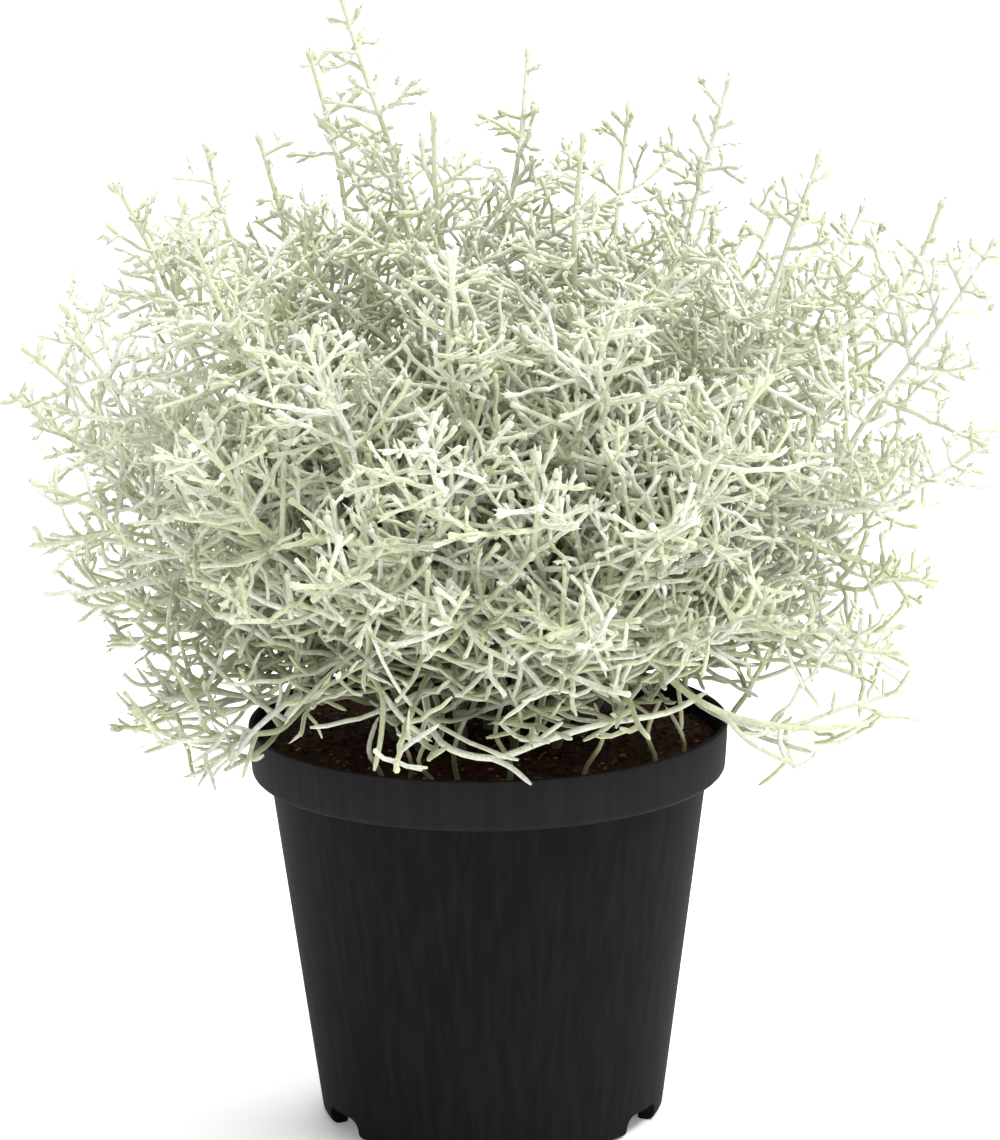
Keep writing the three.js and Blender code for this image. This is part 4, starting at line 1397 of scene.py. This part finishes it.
@dataclass
class FeltedBush:
    """The visible plant: a piece for each rooted stem, with clubbed tips and scale leaves."""

    crown: Crown
    bud_length: float = 3.6
    bud_swell: float = 1.85
    bud_share: float = 0.6
    bud_growth: tuple = (0.4, 0.6)
    bud_room: float = 1.0
    bud_shape: tuple = ((0.35, 0.9), (0.85, 1.0), (1.0, 0.55))
    blunt_end: float = 0.55
    least_youth: float = 0.3
    youth_gain: tuple = (0.8, 0.06, 0.25)
    # Laid sprays above this height take only a share of the painted shade
    laid_from: float = 112.0
    laid_painted_shade: float = 0.15
    aged_heights: tuple = (124.0, 112.0)
    aged_radius: float = 62.0
    # Painted shade: round the crown's heart, and low down near the axis over the soil
    heart_bottom: float = 125.0
    heart_size: tuple = (92.0, 135.0)
    heart_edge: float = 0.78
    heart_slope: float = 2.0
    low_heights: tuple = (142.0, 120.0)
    low_radii: tuple = (88.0, 63.0)
    low_painted_shade: float = 0.85
    leaf_spacing: float = 0.0024
    leaf_length: float = 0.0018
    leaf_radius: float = 0.00042
    leaf_tilt: float = 0.22
    leaf_sizes: tuple = (0.7, 1.3)
    leafy_youth: tuple = (0.25, 1.0)
    leaf_spin: float = 6.283
    leaf_seat: float = 0.75
    wood_sides: int = 6
    twig_sides: int = 4
    seed: int = 11
    finish: FeltFinish = field(default_factory=FeltFinish)

    def club(self, limb: Limb) -> tuple[list[Vector], list[float]]:
        """Thickens the end of a limb into a bud.

        Args:
            limb: the limb.

        Returns:
            Its points and radii, with rings for the bud where the wood is young enough to bear one.
        """
        total = length_of(limb.points)
        youth = youth_at(limb.points[-1])
        bud = min(self.bud_length, self.bud_share * total)
        bud *= self.bud_growth[0] + self.bud_growth[1] * youth
        keep = total - bud
        points, radii = [limb.points[0]], [limb.radii[0]]
        run = 0.0
        for before, after, radius in zip(limb.points, limb.points[1:], limb.radii[1:]):
            run += (after - before).length
            if run < keep - self.bud_room:
                points.append(after)
                radii.append(radius)
        thin = limb.radii[-1]
        swollen = 1.0 + (self.bud_swell - 1.0) * youth
        rings = [(share, swollen * swell) for share, swell in self.bud_shape]
        if youth < self.least_youth:
            rings = [(1.0, self.blunt_end)]
        for share, swell in [(0.0, 1.0), *rings]:
            points.append(point_along(limb.points, keep + bud * share)[0])
            radii.append(thin * swell)
        return points, radii

    def skeleton(self, stem: RootedStem) -> bpy.types.Object:
        """The centre lines of one stem's limbs as an object of edges with numbers at each point.

        Args:
            stem: the rooted stem.

        Returns:
            The object, whose points carry thickness, youth, depth, order, tone and age.
        """
        places, edges, carried = [], [], {}
        for limb in stem.limbs:
            points, radii = self.club(limb)
            edges += [(len(places) + i, len(places) + i + 1) for i in range(len(points) - 1)]
            places += [point * MM for point in points]
            for index, (point, radius) in enumerate(zip(points, radii)):
                numbers = self.numbers_at(limb, point, index / (len(points) - 1))
                for name, value in {"thickness": radius * MM, **numbers}.items():
                    carried.setdefault(name, []).append(value)
        mesh = bpy.data.meshes.new(f"felted_stem_{stem.number + 1:02d}")
        mesh.from_pydata(places, edges, [])
        for name, values in carried.items():
            mesh.attributes.new(name, "FLOAT", "POINT").data.foreach_set("value", values)
        return link_mesh(mesh.name, mesh)

    def numbers_at(self, limb: Limb, point: Vector, share: float) -> dict[str, float]:
        """What a point of a limb carries for the nodes and the material.

        Args:
            limb: the limb.
            point: the point, in millimetres.
            share: how far along the limb's points it is, from 0 to 1.

        Returns:
            Its youth, depth, order, tone and age; depth is how much painted shade the felt takes.
        """
        by_place, by_order, by_share = self.youth_gain
        youth = by_place * youth_at(point) + by_order * limb.order + by_share * share ** 3
        is_laid = limb.number >= LAID_NUMBER and point.z > self.laid_from
        is_over_soil = math.hypot(point.x, point.y) < self.aged_radius
        return {
            "youth": clamp(youth, 0.0, 1.0),
            # depth: how much painted shade the felt takes here, partly the older inner wood's own olive
            "depth": self.painted_shade_at(point) * (self.laid_painted_shade if is_laid else 1.0),
            "order": float(limb.order),
            "tone": chance(limb.leader, limb.number, int(limb.order), 51),
            "age": share_between(point.z, self.aged_heights) * is_over_soil,
        }

    def painted_shade_at(self, point: Vector) -> float:
        """How much painted shade a point takes: by how deep it lies in the crown, from 0 at the outside to 1
        at the heart, and by how low and near the axis it lies.
        """
        reach = math.hypot(point.x, point.y)
        width, height = self.heart_size
        outwards = math.hypot(reach / width, max(point.z - self.heart_bottom, 0.0) / height)
        heart = (self.heart_edge - outwards) * self.heart_slope
        low = share_between(point.z, self.low_heights) * share_between(reach, self.low_radii)
        return clamp(max(heart, low * self.low_painted_shade), 0.0, 1.0)

    def growth_graph(self) -> Graph:
        """The tree that turns centre lines into wood with scale leaves.

        Returns:
            The tree, which ends in a realized mesh with its material set.
        """
        graph, group = node_group("felted_growth", {
            "Sides": "NodeSocketInt", "Twig sides": "NodeSocketInt", "Leaf spacing": "NodeSocketFloat",
            "Leaf length": "NodeSocketFloat", "Leaf radius": "NodeSocketFloat",
            "Leaf tilt": "NodeSocketFloat", "Seed": "NodeSocketInt", "Material": "NodeSocketMaterial"})
        seed = group.outputs["Seed"]
        is_thin = graph.math("GREATER_THAN", graph.attribute("order"), Order.BRANCH + 0.5)
        split = graph.add("GeometryNodeSeparateGeometry", {
            "Geometry": group.outputs["Geometry"], "Selection": is_thin}, domain="POINT")
        twigs = self._wood(graph, split.outputs[0], group.outputs["Twig sides"])
        wood = self._wood(graph, split.outputs[1], group.outputs["Sides"])
        lines = graph.add("GeometryNodeMeshToCurve", {0: group.outputs["Geometry"]})
        thick = graph.attribute("thickness")
        places = graph.add("GeometryNodeCurveToPoints", {
            "Curve": lines.outputs[0], "Length": group.outputs["Leaf spacing"]}, mode="LENGTH")
        leaf = graph.add("GeometryNodeMeshCone", {
            "Vertices": 3, "Radius Top": 0.0, "Radius Bottom": group.outputs["Leaf radius"],
            "Depth": group.outputs["Leaf length"]}, fill_type="NGON")
        size = graph.draw(*self.leaf_sizes, seed)
        lot = graph.draw(*self.leafy_youth, graph.math("ADD", seed, 7.0))
        is_young = graph.math("GREATER_THAN", graph.attribute("youth"), lot)
        leaves = graph.add("GeometryNodeInstanceOnPoints", {
            "Points": places.outputs["Points"], "Selection": is_young, "Instance": leaf.outputs[0],
            "Rotation": places.outputs["Rotation"], "Scale": graph.turn(size, size, size)})
        spin = graph.draw(0.0, self.leaf_spin, graph.math("ADD", seed, 1.0))
        spun = graph.add("GeometryNodeRotateInstances", {
            "Instances": leaves.outputs[0], "Rotation": graph.turn(0.0, 0.0, spin)})
        moved = graph.add("GeometryNodeTranslateInstances", {
            "Instances": spun.outputs[0],
            "Translation": graph.turn(0.0, graph.math("MULTIPLY", thick, -self.leaf_seat), 0.0)})
        tilted = graph.add("GeometryNodeRotateInstances", {
            "Instances": moved.outputs[0], "Rotation": graph.turn(group.outputs["Leaf tilt"], 0.0, 0.0)})
        joined = graph.add("GeometryNodeJoinGeometry")
        for geometry in (wood, twigs, tilted.outputs[0]):
            graph.tree.links.new(geometry, joined.inputs[0])
        real = graph.add("GeometryNodeRealizeInstances", {0: joined.outputs[0]})
        smooth = graph.add("GeometryNodeSetShadeSmooth", {"Geometry": real.outputs[0]})
        finished = graph.add("GeometryNodeSetMaterial", {
            "Geometry": smooth.outputs[0], "Material": group.outputs["Material"]})
        graph.add("NodeGroupOutput", {0: finished.outputs[0]})
        return graph

    @staticmethod
    def _wood(graph: Graph, edges: object, sides: object) -> bpy.types.NodeSocket:
        """Sweeps closed round wood along edges, as thick as their points say."""
        lines = graph.add("GeometryNodeMeshToCurve", {0: edges})
        thick = graph.attribute("thickness")
        shaped = graph.add("GeometryNodeSetCurveRadius", {"Curve": lines.outputs[0], "Radius": thick})
        ring = graph.add("GeometryNodeCurvePrimitiveCircle", {"Resolution": sides, "Radius": 1.0})
        swept = graph.add("GeometryNodeCurveToMesh", {
            "Curve": shaped.outputs[0], "Profile Curve": ring.outputs[0], "Fill Caps": True})
        if "Scale" in swept.inputs:
            graph.tree.links.new(thick, swept.inputs["Scale"])
        return swept.outputs[0]

    def dress(self) -> None:
        """Grows the plant and lets each piece stand for its node."""
        graph = self.growth_graph()
        felt = self.finish.material()
        for stem in self.crown.grow():
            piece = run_nodes(self.skeleton(stem), graph, {
                "Sides": self.wood_sides, "Twig sides": self.twig_sides, "Leaf spacing": self.leaf_spacing,
                "Leaf length": self.leaf_length, "Leaf radius": self.leaf_radius,
                "Leaf tilt": self.leaf_tilt, "Seed": self.seed + stem.number, "Material": felt})
            place_piece(piece, "felted_stem", f"leafy_stem_{stem.number + 1:02d}")
            LOG.info("%s: %d limbs", piece.name, len(stem.limbs))


# The studio


@dataclass(frozen=True)
class Sun:
    """An even, soft light: where it comes from, its width in degrees, and its strength."""

    name: str
    place: tuple
    softness: float
    strength: float


@dataclass
class Studio:
    """A pale floor, soft light and the camera at the photograph's viewing angle, in metres."""

    image_height: float = 1140.0
    focal_pixels: float = 4458.0
    distance: float = 1.2
    elevation: float = 12.8
    roll: float = -0.67
    target: tuple = (0.0037, 0.0, 0.151)
    sensor: float = 36.0
    clip: tuple = (0.05, 50.0)
    floor_size: float = 12.0
    floor_colour: tuple = (0.93, 0.93, 0.92, 1.0)
    floor_glow: float = 0.2
    floor_roughness: float = 0.9
    floor_specular: float = 0.1
    sky: float = 0.44
    sky_colour: tuple = (1.0, 1.0, 1.0, 1.0)
    suns: tuple = (
        Sun("key", (0.55, -0.42, 1.35), 22.0, 3.1), Sun("fill", (0.8, -0.8, 0.6), 60.0, 0.4),
        Sun("back", (0.1, 0.8, 1.15), 40.0, 2.6))

    def camera(self) -> None:
        """Places the camera."""
        tilt = math.radians(self.elevation)
        turn = math.radians(self.roll)
        back = Vector((0.0, -math.cos(tilt), math.sin(tilt)))
        level = Vector((1.0, 0.0, 0.0))
        above = Vector((0.0, math.sin(tilt), math.cos(tilt)))
        right = level * math.cos(turn) + above * math.sin(turn)
        up = above * math.cos(turn) - level * math.sin(turn)
        data = bpy.data.cameras.new("camera")
        data.sensor_width = self.sensor
        data.lens = self.sensor * self.focal_pixels / self.image_height
        data.clip_start, data.clip_end = self.clip
        camera = bpy.data.objects.new("camera", data)
        place = Vector(self.target) + back * self.distance
        turned = Matrix((right, up, back)).transposed().to_4x4()
        camera.matrix_world = Matrix.Translation(place) @ turned
        bpy.context.scene.collection.objects.link(camera)
        bpy.context.scene.camera = camera

    def floor(self) -> None:
        """Lays the plain pale floor."""
        half = self.floor_size / 2
        mesh = bpy.data.meshes.new("floor")
        mesh.from_pydata([(-half, -half, 0), (half, -half, 0), (half, half, 0), (-half, half, 0)], [],
                         [(0, 1, 2, 3)])
        mesh.materials.append(Shader("pale_floor").feed(
            Base_Color=self.floor_colour, Roughness=self.floor_roughness,
            Specular_IOR_Level=self.floor_specular, Emission_Color=self.floor_colour,
            Emission_Strength=self.floor_glow))
        link_mesh("floor", mesh)

    @staticmethod
    def light(sun: Sun) -> None:
        """Shines one light on the plant."""
        data = bpy.data.lights.new(sun.name, "SUN")
        data.angle = math.radians(sun.softness)
        data.energy = sun.strength
        lamp = bpy.data.objects.new(sun.name, data)
        aim = -Vector(sun.place)
        lamp.matrix_world = aim.to_track_quat("-Z", "Y").to_matrix().to_4x4()
        bpy.context.scene.collection.objects.link(lamp)

    def build(self) -> None:
        """Sets up the floor, the lights, the pale surroundings and the camera."""
        self.floor()
        for sun in self.suns:
            self.light(sun)
        world = bpy.data.worlds.new("surroundings")
        world.use_nodes = True
        background = world.node_tree.nodes["Background"]
        background.inputs["Color"].default_value = self.sky_colour
        background.inputs["Strength"].default_value = self.sky
        bpy.context.scene.world = world
        bpy.context.scene.view_settings.view_transform = "Standard"
        self.camera()


def main() -> None:
    """Builds the pot, the soil and the plant over the frame, and sets up the studio."""
    logging.basicConfig(level=logging.INFO, format="%(message)s")
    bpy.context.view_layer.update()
    pot = NurseryPot()
    pot.dress()
    PeatBed(pot).dress()
    FeltedBush(Crown()).dress()
    Studio().build()


if __name__ == "__main__":
    main()
